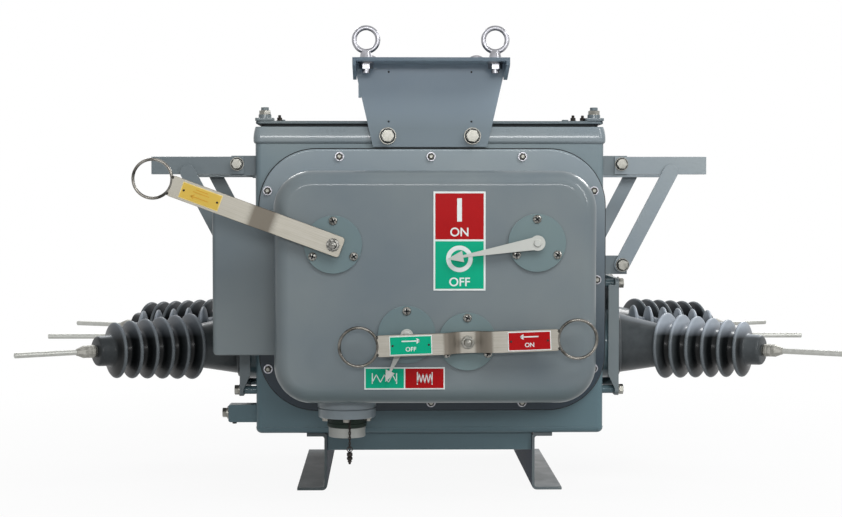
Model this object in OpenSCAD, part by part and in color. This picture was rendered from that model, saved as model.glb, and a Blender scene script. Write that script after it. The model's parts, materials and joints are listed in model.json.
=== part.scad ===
// Outdoor vacuum circuit breaker with a closed steel tank, six bushings and a manual drive on the front.
// Millimetres. X runs left to right, Y from the front to the back, Z up. The feet stand on Z = 0.

/* [Tank] */
// Width of the tank across the front
tank_w = 708; // [590:1:850]
// Depth of the tank from front to back
tank_d = 590; // [490:5:710]
// Height of the tank from its floor to the top of its band
tank_h = 624; // [520:1:750]
// Bend radius of the tank's folded edges
tank_bend_r = 10; // [4:1:16]
// Height of the stiffening band round the top
band_h = 35; // [25:1:50]
// How far the band stands out of the walls
band_out = 4; // [3:1:12]

/* [Lid] */
// Thickness of the lid plate
lid_t = 6; // [4:1:10]
// Thickness of the seal under the lid
gasket_t = 6; // [3:1:10]
// How far the seal lies back from the walls
gasket_inset = 11; // [4:1:20]
// How far the lid lies back from the walls
lid_inset = 1; // [0:0.5:6]
// Side of each square corner lug
lug_w = 38; // [30:1:44]
// Thickness of each corner lug
lug_t = 6; // [4:1:10]
// Height of the corner studs above the lid
lug_stud_h = 28; // [22:1:36]
// Radius of the corner studs
lug_stud_r = 8; // [5:0.5:10]
// Height of the boss round each corner stud
lug_boss_h = 7; // [4:1:12]

/* [Cover] */
// Half of the tank's width left free beside the bolted flange
flange_side = 4; // [0:0.5:20]
// Strip of tank left free above the flange
flange_top = 45.5; // [42:0.5:60]
// Strip of tank left free below the flange
flange_bottom = 49.5; // [40:0.5:60]
// How far the flange and the cover sit to the right of the tank's middle
cover_shift = 5; // [0:0.5:8]
// How far the cover's middle lies below the flange's
cover_drop = 4; // [0:0.5:6]
// Corner radius of the flange
flange_r = 115; // [90:1:140]
// Thickness of the flange with its seal
flange_t = 12; // [8:1:20]
// Width of the flange around the raised cover
flange_margin = 42; // [36:1:50]
// Corner radius of the raised cover
cover_r = 73; // [50:1:80]
// How far the cover stands in front of the tank
cover_out = 232; // [180:1:260]
// Rounding of the cover's front edge
cover_edge_r = 30; // [15:1:40]

/* [Control box] */
// Width of the box beside the cover
box_w = 125; // [90:1:150]
// Height of cover left free above and below the box
box_end = 81.5; // [80:0.5:120]
// How far the box stands in front of the tank
box_out = 132; // [90:1:170]
// Corner radius of the box
box_r = 9; // [4:1:16]

/* [Lifting brackets] */
// Width of a bracket at its top
bracket_top_w = 310; // [260:1:380]
// Width of a bracket at its bottom
bracket_bottom_w = 231; // [200:1:270]
// How far a bracket rises above the tank's band
bracket_rise = 132; // [110:1:180]
// How far a bracket reaches down over the band
bracket_drop = 41; // [38:1:60]
// Thickness of the bracket plate
bracket_t = 7; // [5:1:10]
// Reach of the bracket's top shelf
shelf_reach = 92; // [70:1:120]
// Depth of the shelf's turned-down sides
shelf_lip_h = 38; // [25:1:60]
// Spacing of the four small plate holes across
tag_hole_x = 167; // [140:1:190]
// Spacing of the four small plate holes upwards
tag_hole_z = 100; // [80:1:110]
// Radius of the small plate holes
tag_hole_r = 2.2; // [1.5:0.1:4]

/* [Eye bolts] */
// Distance of each eye bolt from the end of its bracket
eye_inset = 26.5; // [26:0.5:45]
// Radius of the eye's centre line
eye_r = 23.4; // [20:0.2:30]
// Radius of the eye's rod
eye_rod_r = 5; // [4:0.5:8]
// Radius of the threaded shank
eye_shank_r = 8; // [6:0.5:10]

/* [Feet] */
// Height of the feet
foot_h = 120; // [90:1:160]
// Distance between the webs' inner faces
foot_gap = 420; // [360:5:480]
// Width of a foot's lower flange
foot_base_w = 62; // [50:1:80]
// Width of a foot's upper flange
foot_top_w = 42; // [30:1:48]
// Thickness of the feet
foot_t = 6; // [5:1:10]
// Thickness of a foot's upper flange
foot_top_t = 9; // [6:1:12]
// How far the feet lie back from the tank's front
foot_front = 20; // [5:1:60]
// How far the feet lie back from the tank's rear
foot_rear = 50; // [5:1:70]
// Height of the plates that join the feet
cross_h = 38; // [25:1:60]
// How far those plates lie back from the ends of the feet
cross_inset = 8; // [2:1:30]

/* [Side arms] */
// Reach of an arm's tip out from the tank wall
arm_reach = 212; // [180:1:260]
// Height of an arm
arm_h = 36; // [30:1:50]
// Thickness of the arms' folded sheet
arm_t = 4; // [3:1:6]
// Depth of an arm's turned edges
arm_fold = 24; // [15:1:40]
// Height of the arms' centre line below the top of the band
arm_drop = 78; // [60:1:100]
// Height of the braces' lower lugs above the bushing plates
lug_gap = 8.5; // [3:0.5:20]
// Width of a brace
brace_w = 31; // [20:1:40]
// Thickness of a brace
brace_t = 6; // [4:1:10]
// How far out along the arm the brace is fixed
brace_out = 145; // [120:1:170]

/* [Bushing plates] */
// Gap between the tank wall and a bushing plate
plate_gap = 27; // [24:1:45]
// Thickness of a bushing plate
plate_t = 8; // [6:1:14]
// Height of a bushing plate
plate_h = 242; // [220:1:270]
// How far a bushing plate's ends lie back from the tank's front and rear
plate_setback = 22.5; // [10:0.5:40]
// Height of the bushings' axes above the tank floor
bushing_rise = 175; // [160:1:200]
// Width of the bushing plates' folded ends, measured from their outer face
plate_fold = 22; // [14:1:30]
// Thickness of the folded ends
plate_fold_t = 4; // [3:0.5:5]
// Radius of the necks between the wall and a plate
neck_r = 72; // [60:1:80]
// Radius of the spacer tubes
spacer_r = 8.5; // [6:0.5:12]
// Distance of the spacer rows from the top and bottom of a bushing plate
spacer_inset = 11; // [10:0.5:16]

/* [Bushings] */
// Spacing of the three phases
phase_pitch = 190; // [180:1:200]
// Angle by which the front bushings splay forwards
front_splay = 32; // [20:1:38]
// Angle by which the rear bushings splay backwards
rear_splay = 24; // [20:1:38]
// Radius of a bushing at its foot
skirt_foot_r = 62.5; // [50:0.5:66]
// Radius of a bushing below its first shed
skirt_end_r = 42; // [34:1:48]
// Length of the plain skirt on an outer bushing
outer_skirt = 112; // [95:1:130]
// Length of the plain skirt on a middle bushing
middle_skirt = 63; // [50:1:90]
// Radius of the largest shed
shed_r = 68; // [56:1:72]
// Distance between sheds
shed_pitch = 33; // [26:1:38]
// Number of sheds
sheds = 6; // [4:1:7]
// Radius of the plain hub past the sheds
hub_r = 30; // [24:1:34]
// Length of the hub past the last shed
hub_l = 42; // [25:1:60]

/* [Terminals] */
// Radius of the clamp on a bushing's end
clamp_r = 13.5; // [10:0.5:18]
// Length of the clamp
clamp_l = 42; // [30:1:60]
// Radius of a terminal rod
rod_r = 5.5; // [3:0.5:8]
// Free length of a terminal rod
rod_l = 125; // [60:1:150]

/* [Front signs] */
// Width of the position sign
position_sign_w = 99; // [80:1:120]
// Height of the position sign, where the cover has room for it
position_sign_h = 188; // [150:1:200]
// Distance of the position sign's top below the top of the cover
sign_drop = 40; // [32:1:60]
// Least space between the position sign and the trip handle's plate below it
sign_gap = 5; // [3:1:20]
// Width of the charge sign
charge_sign_w = 153; // [120:1:170]
// Height of the charge sign
charge_sign_h = 42.5; // [30:0.5:50]
// Thickness of the signs
sign_t = 1.5; // [1:0.1:3]
// Radius of the four pivot plates
disc_r = 55; // [50:1:62]
// Thickness of the pivot plates
disc_t = 5; // [3:0.5:8]

/* [Charging lever] */
// Distance from the lever's pivot to the middle of its ring
lever_ring_at = 357.5; // [330:0.5:400]
// Width of the lever's bar
lever_w = 40; // [32:1:44]
// Thickness of the lever's bar
lever_t = 5; // [4:0.5:8]
// Height of the lever's outer part above its inner part
lever_step = 18; // [10:1:30]
// Distance from the pivot at which the lever starts to rise
lever_step_at = 117; // [80:1:140]
// Resting angle of the lever above the horizontal
lever_angle = 20.3; // [10:0.1:30]

/* [Trip handle] */
// Distance from the handle's pivot to the middle of each ring
handle_ring_at = 206; // [190:1:225]
// Width of the handle's bar
handle_w = 41; // [32:1:44]
// Thickness of the handle's bar
handle_t = 5; // [4:0.5:8]
// Height of the handle's arms above its middle
handle_step = 20; // [18:1:30]
// Resting angle of the handle
handle_angle = 2; // [0:0.5:6]
// Radius of the rings' centre line
pull_ring_r = 36.2; // [30:0.2:42]
// Radius of the rings' wire
pull_wire_r = 2.5; // [1.5:0.1:4]

/* [Pointers] */
// Length of the position pointer
position_pointer_l = 173; // [140:1:178]
// Resting angle of the position pointer below the horizontal
position_pointer_angle = 10; // [0:0.5:15]
// Length of the charge pointer
charge_pointer_l = 97; // [80:1:104]
// Resting angle of the charge pointer from straight down
charge_pointer_angle = 24.7; // [15:0.1:30]
// Thickness of the pointers
pointer_t = 3; // [2:0.5:4]

/* [Pivots] */
// Radius of the shafts
shaft_r = 8; // [6:0.5:10]
// Running clearance around each shaft
shaft_gap = 0.3; // [0.2:0.05:0.5]
// Clearance between each shaft and the bar keyed to it
key_gap = 0.1; // [0.05:0.05:0.2]
// Free space between a pivot plate and what turns over it
turn_gap = 9; // [8:0.5:12]
// Height of the nuts on the shafts
nut_h = 13; // [8:1:16]
// Radius of the washers under the nuts
washer_r = 16; // [14:0.5:17]
// Thickness of the washers
washer_t = 2.5; // [1.5:0.5:4]

/* [Cable connector] */
// Radius of the connector's flanges
connector_r = 57.5; // [45:0.5:65]
// Height of the stacked flanges
connector_h = 36; // [30:1:50]
// Distance of the connector left of the middle
connector_left = 166; // [140:1:190]
// Radius of the connector's threaded end
connector_end_r = 36; // [26:1:42]
// Height of the connector's threaded end
connector_end_h = 20; // [14:1:30]
// Free length of the cap's chain below the threaded end
chain_l = 24; // [12:1:40]
// Length of the clip on the end of the chain
chain_clip_l = 26; // [16:1:32]

/* [Earthing boss] */
// Length of the boss out of the wall
boss_l = 61; // [40:1:80]
// Height of the boss
boss_h = 36; // [26:1:44]
// Radius of the boss's bolt across its corners
boss_bolt_r = 10.5; // [8:0.5:12]

/* [Hidden] */
$fn = 48;

PAINT = "#707c82";
PAINT_DARK = "#5c676d";
SEAL = "#2c3032";
SILICONE = "#4a4e50";
STEEL = "#beb9af";
ZINC = "#c8c6d2";
LEFT = -1;
RIGHT = 1;
FRONT = -1;
REAR = 1;

// The mechanism's stack in front of the cover, counted forwards from the cover's face.
turn_y = disc_t + turn_gap;
lever_top = turn_y + lever_step + lever_t;
handle_top = turn_y + handle_step + handle_t;
lever_nut_top = turn_y + lever_t + washer_t + nut_h;
handle_nut_top = turn_y + handle_t + washer_t + nut_h;
front_reach = cover_out + max(lever_top, handle_top, lever_nut_top, handle_nut_top);
outer_bushing_l = outer_skirt + (sheds - 1) * shed_pitch + hub_l;
outer_tip_l = outer_bushing_l + clamp_l + rod_l;
tip_reach = phase_pitch + outer_tip_l * sin(rear_splay) + rod_r * cos(rear_splay) - tank_d / 2;
rear_reach = max(band_out + bracket_t + shelf_reach, tip_reach);

// The origin lies under the middle of the whole outline, so the tank sits a little off it.
tank_front = (front_reach - rear_reach - tank_d) / 2;
tank_back = tank_front + tank_d;
tank_mid = (tank_front + tank_back) / 2;
tank_floor = foot_h;
tank_top = tank_floor + tank_h;
wall_x = tank_w / 2;
lid_z = tank_top + gasket_t;
lid_top = lid_z + lid_t;
flange_w = tank_w - 2 * flange_side;
flange_h = tank_h - flange_top - flange_bottom;
flange_z = tank_floor + flange_bottom + flange_h / 2;
cover_x = cover_shift;
cover_z = flange_z - cover_drop;
cover_w = flange_w - 2 * flange_margin;
cover_h = flange_h - 2 * flange_margin;
cover_face = tank_front - cover_out;
flange_face = tank_front - flange_t;

// Places on the cover, to the right of and above its middle. The lower pivots keep their distance from the
// cover's bottom, the sign hangs from its top, and the upper pivots keep beside the sign.
cover_top = cover_h / 2;
HANDLE_PIVOT = [60, 120.5 - cover_top];
CHARGE_PIVOT = HANDLE_PIVOT + [-115, 13];
CHARGE_SIGN_AT = CHARGE_PIVOT + [-4, -83];
sign_top = cover_top - sign_drop;
sign_room = sign_top - (HANDLE_PIVOT[1] + disc_r + sign_gap);
sign_h = min(position_sign_h, sign_room);
POSITION_PIVOT = [cover_w / 2 - 116, sign_top - sign_h / 2 - 3.5];
POSITION_SIGN_AT = POSITION_PIVOT + [-147, 3.5];
LEVER_PIVOT = [114 - cover_w / 2, POSITION_PIVOT[1] - 3];

bracket_top = tank_top + bracket_rise;
bracket_bottom = tank_top - bracket_drop;
bracket_back = tank_front - band_out;
tag_mid_z = bracket_top - 72;
eye_span = bracket_top_w - 2 * eye_inset;
eye_collar_r = 13;
eye_collar_h = 16;
eye_nut_r = 13.9;
eye_z = bracket_top + eye_collar_h + eye_r - 1;
eye_y = bracket_back - bracket_t - shelf_reach / 2;

foot_start = tank_front + foot_front;
foot_end = tank_back - foot_rear;
plate_l = tank_d - 2 * plate_setback;
plate_mid_z = tank_floor + bushing_rise + 19.5;
plate_face = wall_x + plate_gap + plate_t;
bushing_z = tank_floor + bushing_rise;
spacer_rows = [plate_mid_z - plate_h / 2 + spacer_inset, plate_mid_z + plate_h / 2 - spacer_inset];
spacer_step = (plate_l - 50) / 3;

arm_z = tank_top - arm_drop;
lug_h = arm_h + 2;
brace_z = plate_mid_z + plate_h / 2 + lug_gap + lug_h / 2;
brace_rise = arm_z - brace_z;
arm_plane = tank_front + 18;
arm_root = 24;
lug_out = 50;
lug_plate_t = 8;
brace_root = 39;
foot_ring_t = 7;
foot_ring_r = 67;
foot_ring_stretch = 14;
bushing_root = plate_face + foot_ring_t;

// A rectangle with round corners, centred.
module rounded(w, h, r) {
  square([w - 2 * r, h], center = true);
  square([w, h - 2 * r], center = true);
  for (sx = [-1, 1], sy = [-1, 1]) {
    translate([sx * (w / 2 - r), sy * (h / 2 - r)]) circle(r);
  }
}

// A round shape drawn out sideways by a stretch.
module stadium(r, stretch) {
  square([stretch, 2 * r], center = true);
  for (side = [-1, 1]) translate([side * stretch / 2, 0]) circle(r);
}

// Stands a drawing of X and Z up, with its back at y and its thickness forwards.
module upright(y, t) {
  translate([0, y, 0]) rotate([90, 0, 0]) linear_extrude(t) children();
}

// Puts a shape whose axis is Z on a pivot of the cover, with Z pointing forwards from its face.
module on_cover(at) {
  translate([cover_x + at[0], cover_face, cover_z + at[1]]) rotate([90, 0, 0]) children();
}

// Mirrors a shape built at the front to the rear of the tank.
module at_end(end) {
  if (end == FRONT) children();
  else translate([0, 2 * tank_mid, 0]) mirror([0, 1, 0]) children();
}

module at_side(side) {
  if (side == RIGHT) children();
  else mirror([1, 0, 0]) children();
}

module tank_body() {
  color(PAINT) intersection() {
    translate([0, 0, tank_floor + tank_h / 2]) upright(tank_back, tank_d) {
      rounded(tank_w, tank_h, tank_bend_r);
      translate([0, tank_bend_r]) square([tank_w, tank_h - 2 * tank_bend_r], center = true);
      translate([-tank_w / 2, 0]) square([tank_w, tank_h / 2]);
    }
    translate([0, tank_mid, tank_floor]) linear_extrude(tank_h) rounded(tank_w, tank_d, tank_bend_r);
  }
}

module top_band() {
  outer_r = tank_bend_r + band_out;
  color(PAINT) translate([0, tank_mid, tank_top - band_h]) linear_extrude(band_h) difference() {
    rounded(tank_w + 2 * band_out, tank_d + 2 * band_out, outer_r);
    rounded(tank_w, tank_d, tank_bend_r);
  }
}

module lid_gasket() {
  color(SEAL) translate([0, tank_mid, tank_top]) linear_extrude(gasket_t) {
    rounded(tank_w - 2 * gasket_inset, tank_d - 2 * gasket_inset, tank_bend_r);
  }
}

module top_lid() {
  color(PAINT) translate([0, tank_mid, lid_z]) linear_extrude(lid_t) {
    rounded(tank_w - 2 * lid_inset, tank_d - 2 * lid_inset, tank_bend_r);
  }
}

// Four corner clamps on the lid, each a square lug with a boss and a stud.
module lid_lugs() {
  lug_x = wall_x - lug_w / 2;
  lug_y = tank_d / 2 - lug_w / 2;
  color(PAINT_DARK) for (sx = [-1, 1], sy = [-1, 1]) {
    translate([sx * lug_x, tank_mid + sy * lug_y, lid_top]) {
      linear_extrude(lug_t) rounded(lug_w, lug_w, 5);
      cylinder(h = lug_t + lug_boss_h, r = lug_w / 2 - 6);
      cylinder(h = lug_stud_h, r = lug_stud_r);
    }
  }
}

module cover_flange() {
  color(PAINT) translate([cover_x, 0, flange_z]) upright(tank_front, flange_t) {
    rounded(flange_w, flange_h, flange_r);
  }
}

// One corner of the raised cover: a round post whose front edge is rounded over.
module cover_corner(depth) {
  cylinder(h = depth - cover_edge_r, r = cover_r, $fn = 96);
  translate([0, 0, depth - cover_edge_r]) rotate_extrude($fn = 96) {
    intersection() {
      translate([cover_r - cover_edge_r, 0]) circle(cover_edge_r, $fn = 48);
      square([cover_r, cover_edge_r]);
    }
  }
}

module mechanism_cover() {
  depth = cover_out - flange_t;
  color(PAINT) translate([cover_x, flange_face, cover_z]) rotate([90, 0, 0]) hull() {
    for (sx = [-1, 1], sz = [-1, 1]) {
      translate([sx * (cover_w / 2 - cover_r), sz * (cover_h / 2 - cover_r)]) cover_corner(depth);
    }
  }
}

// The box beside the cover, with its back on the flange and its right wall on the cover.
module control_box() {
  depth = box_out - flange_t;
  box_h = cover_h - 2 * box_end;
  mid_x = cover_x - cover_w / 2 - box_w / 2;
  color(PAINT) translate([mid_x, 0, flange_z]) intersection() {
    upright(flange_face, depth) {
      rounded(box_w, box_h, box_r);
      square([box_w / 2, box_h / 2]);
      translate([0, -box_h / 2]) square([box_w / 2, box_h / 2]);
    }
    translate([0, flange_face, -box_h / 2]) linear_extrude(box_h) difference() {
      translate([-box_w / 2, -depth]) square([box_w, depth]);
      translate([-box_w / 2, -depth]) difference() {
        square(box_r);
        translate([box_r, box_r]) circle(box_r);
      }
    }
  }
}

module lifting_bracket(end) {
  shelf_z = bracket_top - bracket_t;
  shelf_y = bracket_back - bracket_t - shelf_reach;
  slant = (bracket_top_w - bracket_bottom_w) / 2 / (bracket_rise + bracket_drop);
  color(PAINT) at_end(end) difference() {
    union() {
      upright(bracket_back, bracket_t) polygon([
        [-bracket_bottom_w / 2, bracket_bottom], [bracket_bottom_w / 2, bracket_bottom],
        [bracket_top_w / 2, bracket_top], [-bracket_top_w / 2, bracket_top]
      ]);
      translate([-bracket_top_w / 2, shelf_y, shelf_z]) cube([bracket_top_w, shelf_reach, bracket_t]);
      for (side = [LEFT, RIGHT]) at_side(side) {
        translate([bracket_top_w / 2 - bracket_t, 0, 0]) rotate([90, 0, 90]) linear_extrude(bracket_t) {
          polygon([
            [bracket_back - bracket_t, bracket_top], [shelf_y, bracket_top],
            [shelf_y, shelf_z - 8], [bracket_back - bracket_t - 14, bracket_top - shelf_lip_h],
            [bracket_back - bracket_t, bracket_top - shelf_lip_h]
          ]);
        }
      }
    }
    for (sx = [-1, 1]) {
      translate([sx * eye_span / 2, eye_y, shelf_z - 1]) cylinder(h = bracket_t + 2, r = eye_shank_r + shaft_gap);
      for (sz = [-1, 1]) {
        translate([sx * tag_hole_x / 2, bracket_back + 1, tag_mid_z + sz * tag_hole_z / 2]) {
          rotate([90, 0, 0]) cylinder(h = bracket_t + 2, r = tag_hole_r);
        }
      }
    }
  }
}

module eye_bolt(end, side) {
  nut_top = bracket_top - bracket_t;
  color(ZINC) at_end(end) translate([side * eye_span / 2, eye_y, 0]) {
    translate([0, 0, eye_z]) rotate([90, 0, 0]) rotate_extrude() translate([eye_r, 0]) circle(eye_rod_r);
    translate([0, 0, bracket_top]) cylinder(h = eye_collar_h, r1 = eye_collar_r, r2 = eye_collar_r - 3);
    translate([0, 0, nut_top - nut_h - 8]) cylinder(h = nut_h + 8 + bracket_t + 1, r = eye_shank_r);
    translate([0, 0, nut_top - nut_h]) cylinder(h = nut_h, r = eye_nut_r, $fn = 6);
  }
}

// A channel on its side: a tall web inside, a wide flange on the floor and a narrow one under the tank.
module foot(side) {
  web_x = foot_gap / 2;
  bend = foot_t + 5;
  color(PAINT) at_side(side) upright(foot_end, foot_end - foot_start) difference() {
    intersection() {
      translate([web_x + foot_base_w, foot_h / 2]) rounded(2 * foot_base_w, foot_h, bend);
      translate([web_x, 0]) square([foot_base_w, foot_h]);
    }
    translate([web_x + foot_base_w, (foot_h + foot_t - foot_top_t) / 2]) {
      rounded(2 * (foot_base_w - foot_t), foot_h - foot_t - foot_top_t, bend - foot_t);
    }
    translate([web_x + foot_top_w, foot_h / 2]) square([foot_base_w, foot_h]);
  }
}

// A plate between the feet, close under the tank.
module cross_plate(end) {
  y = end == FRONT ? foot_start + cross_inset : foot_end - cross_inset - foot_t;
  color(PAINT) translate([-foot_gap / 2, y, foot_h - cross_h]) cube([foot_gap, foot_t, cross_h]);
}

// Two arms a side: a flat web bolted to its lug, with turned edges on the free part.
module arms(side) {
  fold_root = lug_out + 6;
  color(PAINT) at_side(side) for (end = [FRONT, REAR]) at_end(end) {
    translate([wall_x, arm_plane, arm_z]) {
      translate([arm_root, 0, -arm_h / 2]) cube([arm_reach - arm_root, arm_t, arm_h]);
      for (z = [-arm_h / 2, arm_h / 2 - arm_t]) {
        translate([fold_root, 0, z]) cube([arm_reach - fold_root, arm_fold, arm_t]);
      }
    }
  }
}

module brace_bar(length) {
  translate([0, -brace_w / 2]) square([length, brace_w]);
  circle(brace_w / 2);
  translate([length, 0]) circle(brace_w / 2);
}

// A diagonal flat bar from the lower lug up to the arm, in front of both.
module braces(side) {
  run = brace_out - brace_root;
  length = sqrt(run * run + brace_rise * brace_rise) - brace_w / 2;
  tilt = atan2(brace_rise, run);
  color(PAINT) at_side(side) for (end = [FRONT, REAR]) at_end(end) {
    upright(arm_plane, brace_t) {
      translate([wall_x + brace_root, brace_z]) rotate(tilt) brace_bar(length);
    }
  }
}

module arm_lugs() {
  color(PAINT_DARK) for (side = [LEFT, RIGHT], end = [FRONT, REAR]) at_side(side) at_end(end) {
    translate([wall_x, arm_plane + arm_t, arm_z - arm_h / 2 - 2]) cube([lug_out, lug_plate_t, arm_h + 4]);
    translate([wall_x, arm_plane, brace_z - lug_h / 2]) cube([lug_out, lug_plate_t, lug_h]);
  }
}

// A flat plate with its front and rear ends folded back towards the wall.
module bushing_plate(side) {
  fold_root = plate_fold - plate_t;
  color(PAINT) at_side(side) translate([wall_x + plate_gap, tank_mid, plate_mid_z]) {
    rotate([90, 0, 90]) linear_extrude(plate_t) rounded(plate_l, plate_h, 12);
    for (end = [FRONT, REAR]) {
      translate([0, end * plate_l / 2 + (end == REAR ? 0 : plate_fold_t), 0]) {
        rotate([90, 0, 0]) linear_extrude(plate_fold_t) polygon([
          [0, 14 - plate_h / 2], [-fold_root, 44 - plate_h / 2], [-fold_root, plate_h / 2 - 14], [0, plate_h / 2 - 14]
        ]);
      }
    }
  }
}

// Three round necks and a row of spacer tubes above and below, from the wall to the bushing plate.
module necks(side) {
  color(PAINT_DARK) at_side(side) {
    for (phase = [-1, 0, 1]) {
      translate([wall_x, tank_mid + phase * phase_pitch, bushing_z]) {
        rotate([0, 90, 0]) cylinder(h = plate_gap, r = neck_r);
      }
    }
    for (z = spacer_rows, column = [-1.5 : 1.5]) {
      translate([wall_x, tank_mid + column * spacer_step, z]) {
        rotate([0, 90, 0]) cylinder(h = plate_gap, r = spacer_r);
      }
    }
  }
}

// Places a shape along a bushing's axis, with Z = 0 where the axis leaves the bushing's foot ring.
module along_bushing(side, phase) {
  at_side(side) translate([bushing_root, tank_mid + phase * phase_pitch, bushing_z]) {
    rotate([0, 90, phase < 0 ? -front_splay : phase * rear_splay]) children();
  }
}

function skirt_l(phase) = phase == 0 ? middle_skirt : outer_skirt;
function bushing_l(phase) = outer_bushing_l - outer_skirt + skirt_l(phase);
function core_r(i) = skirt_end_r + (hub_r - skirt_end_r) * i / (sheds - 1);
function rim_r(i) = shed_r - 2.3 * i;

// Half outline of a bushing, as radius and length: plain skirt, tapering sheds and hub.
function bushing_outline(phase, sunk) = concat(
  [[0, -sunk], [skirt_foot_r + sunk * (skirt_foot_r - skirt_end_r) / skirt_l(phase), -sunk]],
  [for (i = [0 : sheds - 1], p = [[0, -9], [1, -3.5], [1.2, 0], [1, 3.5], [0, 11]])
    [p[0] == 0 ? core_r(i) : rim_r(i) - 3 + 15 * (p[0] - 1), skirt_l(phase) + i * shed_pitch + p[1]]],
  [[hub_r, bushing_l(phase) - 3], [hub_r - 3, bushing_l(phase)], [0, bushing_l(phase)]]
);

module bushing(side, phase) {
  sunk = phase == 0 ? 0 : skirt_foot_r;
  color(SILICONE) {
    difference() {
      along_bushing(side, phase) rotate_extrude() polygon(bushing_outline(phase, sunk));
      at_side(side) translate([bushing_root - 200, tank_mid - tank_d, 0]) cube([200, 2 * tank_d, tank_top]);
    }
    at_side(side) translate([plate_face, tank_mid + phase * (phase_pitch + foot_ring_stretch / 2), bushing_z]) {
      rotate([90, 0, 90]) linear_extrude(foot_ring_t) stadium(foot_ring_r, foot_ring_stretch);
    }
  }
}

module terminals(side) {
  taper = 12;
  color(STEEL) for (phase = [-1, 0, 1]) along_bushing(side, phase) translate([0, 0, bushing_l(phase)]) {
    cylinder(h = clamp_l - taper, r = clamp_r);
    translate([0, 0, clamp_l - taper]) cylinder(h = taper, r1 = clamp_r, r2 = rod_r + 1);
    cylinder(h = clamp_l + rod_l, r = rod_r);
  }
}

// Four round plates on the cover, each with a bore for its shaft.
module pivot_plates() {
  color(PAINT) for (at = [LEVER_PIVOT, HANDLE_PIVOT, POSITION_PIVOT, CHARGE_PIVOT]) {
    on_cover(at) linear_extrude(disc_t) difference() {
      circle(disc_r);
      circle(shaft_r + shaft_gap);
      if (at == HANDLE_PIVOT) {
        translate(CHARGE_PIVOT - HANDLE_PIVOT) circle(disc_r + shaft_gap);
      }
    }
  }
}

module position_sign() {
  color("crimson") on_cover(POSITION_SIGN_AT) linear_extrude(sign_t) {
    square([position_sign_w, sign_h], center = true);
  }
}

module charge_sign() {
  color("seagreen") on_cover(CHARGE_SIGN_AT) linear_extrude(sign_t) difference() {
    square([charge_sign_w, charge_sign_h], center = true);
    translate(CHARGE_PIVOT - CHARGE_SIGN_AT) circle(disc_r + shaft_gap);
  }
}

// A round wire ring whose wire lies in the middle of a bar, its axis along Z.
module pull_ring() {
  rotate_extrude() translate([pull_ring_r, 0]) circle(pull_wire_r);
}

// A bar seen from its edge: flat, then a slope, then flat again at the step's height.
module stepped_edge(from, slope_from, slope_to, to, step, t) {
  polygon([
    [from, 0], [slope_from, 0], [slope_to, step], [to, step],
    [to, step + t], [slope_to - t / 3, step + t], [slope_from - t / 3, t], [from, t]
  ]);
}

module charging_lever() {
  back_end = 18;
  bar_end = lever_ring_at - pull_ring_r + 2;
  color(STEEL) on_cover(LEVER_PIVOT) rotate(180 - lever_angle) {
    difference() {
      translate([0, lever_w / 2, turn_y]) rotate([90, 0, 0]) linear_extrude(lever_w) {
        stepped_edge(-back_end, lever_step_at, lever_step_at + 49, bar_end, lever_step, lever_t);
      }
      translate([0, 0, turn_y - 1]) cylinder(h = lever_t + 2, r = shaft_r + key_gap);
    }
    translate([lever_ring_at, 0, turn_y + lever_step + lever_t / 2]) pull_ring();
  }
}

// A shaft from just off the cover's face, with a washer and a nut in front of the bar.
module pivot_shaft(bar_t) {
  seat = turn_y + bar_t;
  translate([0, 0, shaft_gap]) cylinder(h = seat + washer_t - shaft_gap, r = shaft_r);
  translate([0, 0, disc_t + 1]) cylinder(h = turn_gap - 1, r = shaft_r + 4);
  translate([0, 0, seat]) cylinder(h = washer_t, r = washer_r);
  translate([0, 0, seat + washer_t]) cylinder(h = nut_h * 0.6, r = washer_r - 2.2, $fn = 6);
  translate([0, 0, seat + washer_t]) cylinder(h = nut_h, r1 = washer_r - 4.5, r2 = washer_r - 10);
}

module charging_lever_shaft() {
  color(STEEL) on_cover(LEVER_PIVOT) rotate(180 - lever_angle) pivot_shaft(lever_t);
}

module trip_handle() {
  slope_from = washer_r + shaft_gap + handle_t / 3;
  bar_end = handle_ring_at - pull_ring_r + 2;
  color(STEEL) on_cover(HANDLE_PIVOT) rotate(handle_angle) {
    difference() {
      for (turn = [0, 180]) rotate(turn) {
        translate([0, handle_w / 2, turn_y]) rotate([90, 0, 0]) linear_extrude(handle_w) {
          stepped_edge(0, slope_from, slope_from + 24, bar_end, handle_step, handle_t);
        }
      }
      translate([0, 0, turn_y - 1]) cylinder(h = handle_t + 2, r = shaft_r + key_gap);
    }
    for (side = [LEFT, RIGHT]) {
      translate([side * handle_ring_at, 0, turn_y + handle_step + handle_t / 2]) pull_ring();
    }
  }
}

module trip_handle_shaft() {
  color(STEEL) on_cover(HANDLE_PIVOT) rotate(handle_angle) pivot_shaft(handle_t);
}

// A flat needle with a round hub, a waist and an arrowhead, along X.
module needle(length, hub_r, head_l, head_w) {
  circle(hub_r);
  polygon([
    [0, -hub_r * 0.85], [length - head_l, -2.2], [length - head_l, -head_w / 2], [length, 0],
    [length - head_l, head_w / 2], [length - head_l, 2.2], [0, hub_r * 0.85]
  ]);
}

module pointer(length, hub_r, head_l, head_w) {
  translate([0, 0, turn_y]) linear_extrude(pointer_t) needle(length, hub_r, head_l, head_w);
  translate([0, 0, shaft_gap]) cylinder(h = turn_y, r = shaft_r);
  translate([0, 0, turn_y + pointer_t]) cylinder(h = 3, r1 = shaft_r, r2 = shaft_r - 2);
}

module position_pointer() {
  color("gainsboro") on_cover(POSITION_PIVOT) rotate(180 + position_pointer_angle) {
    pointer(position_pointer_l, 14.5, 30, 22);
  }
}

module charge_pointer() {
  color("gainsboro") on_cover(CHARGE_PIVOT) rotate(270 - charge_pointer_angle) {
    pointer(charge_pointer_l, 12, 22, 19);
  }
}

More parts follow.
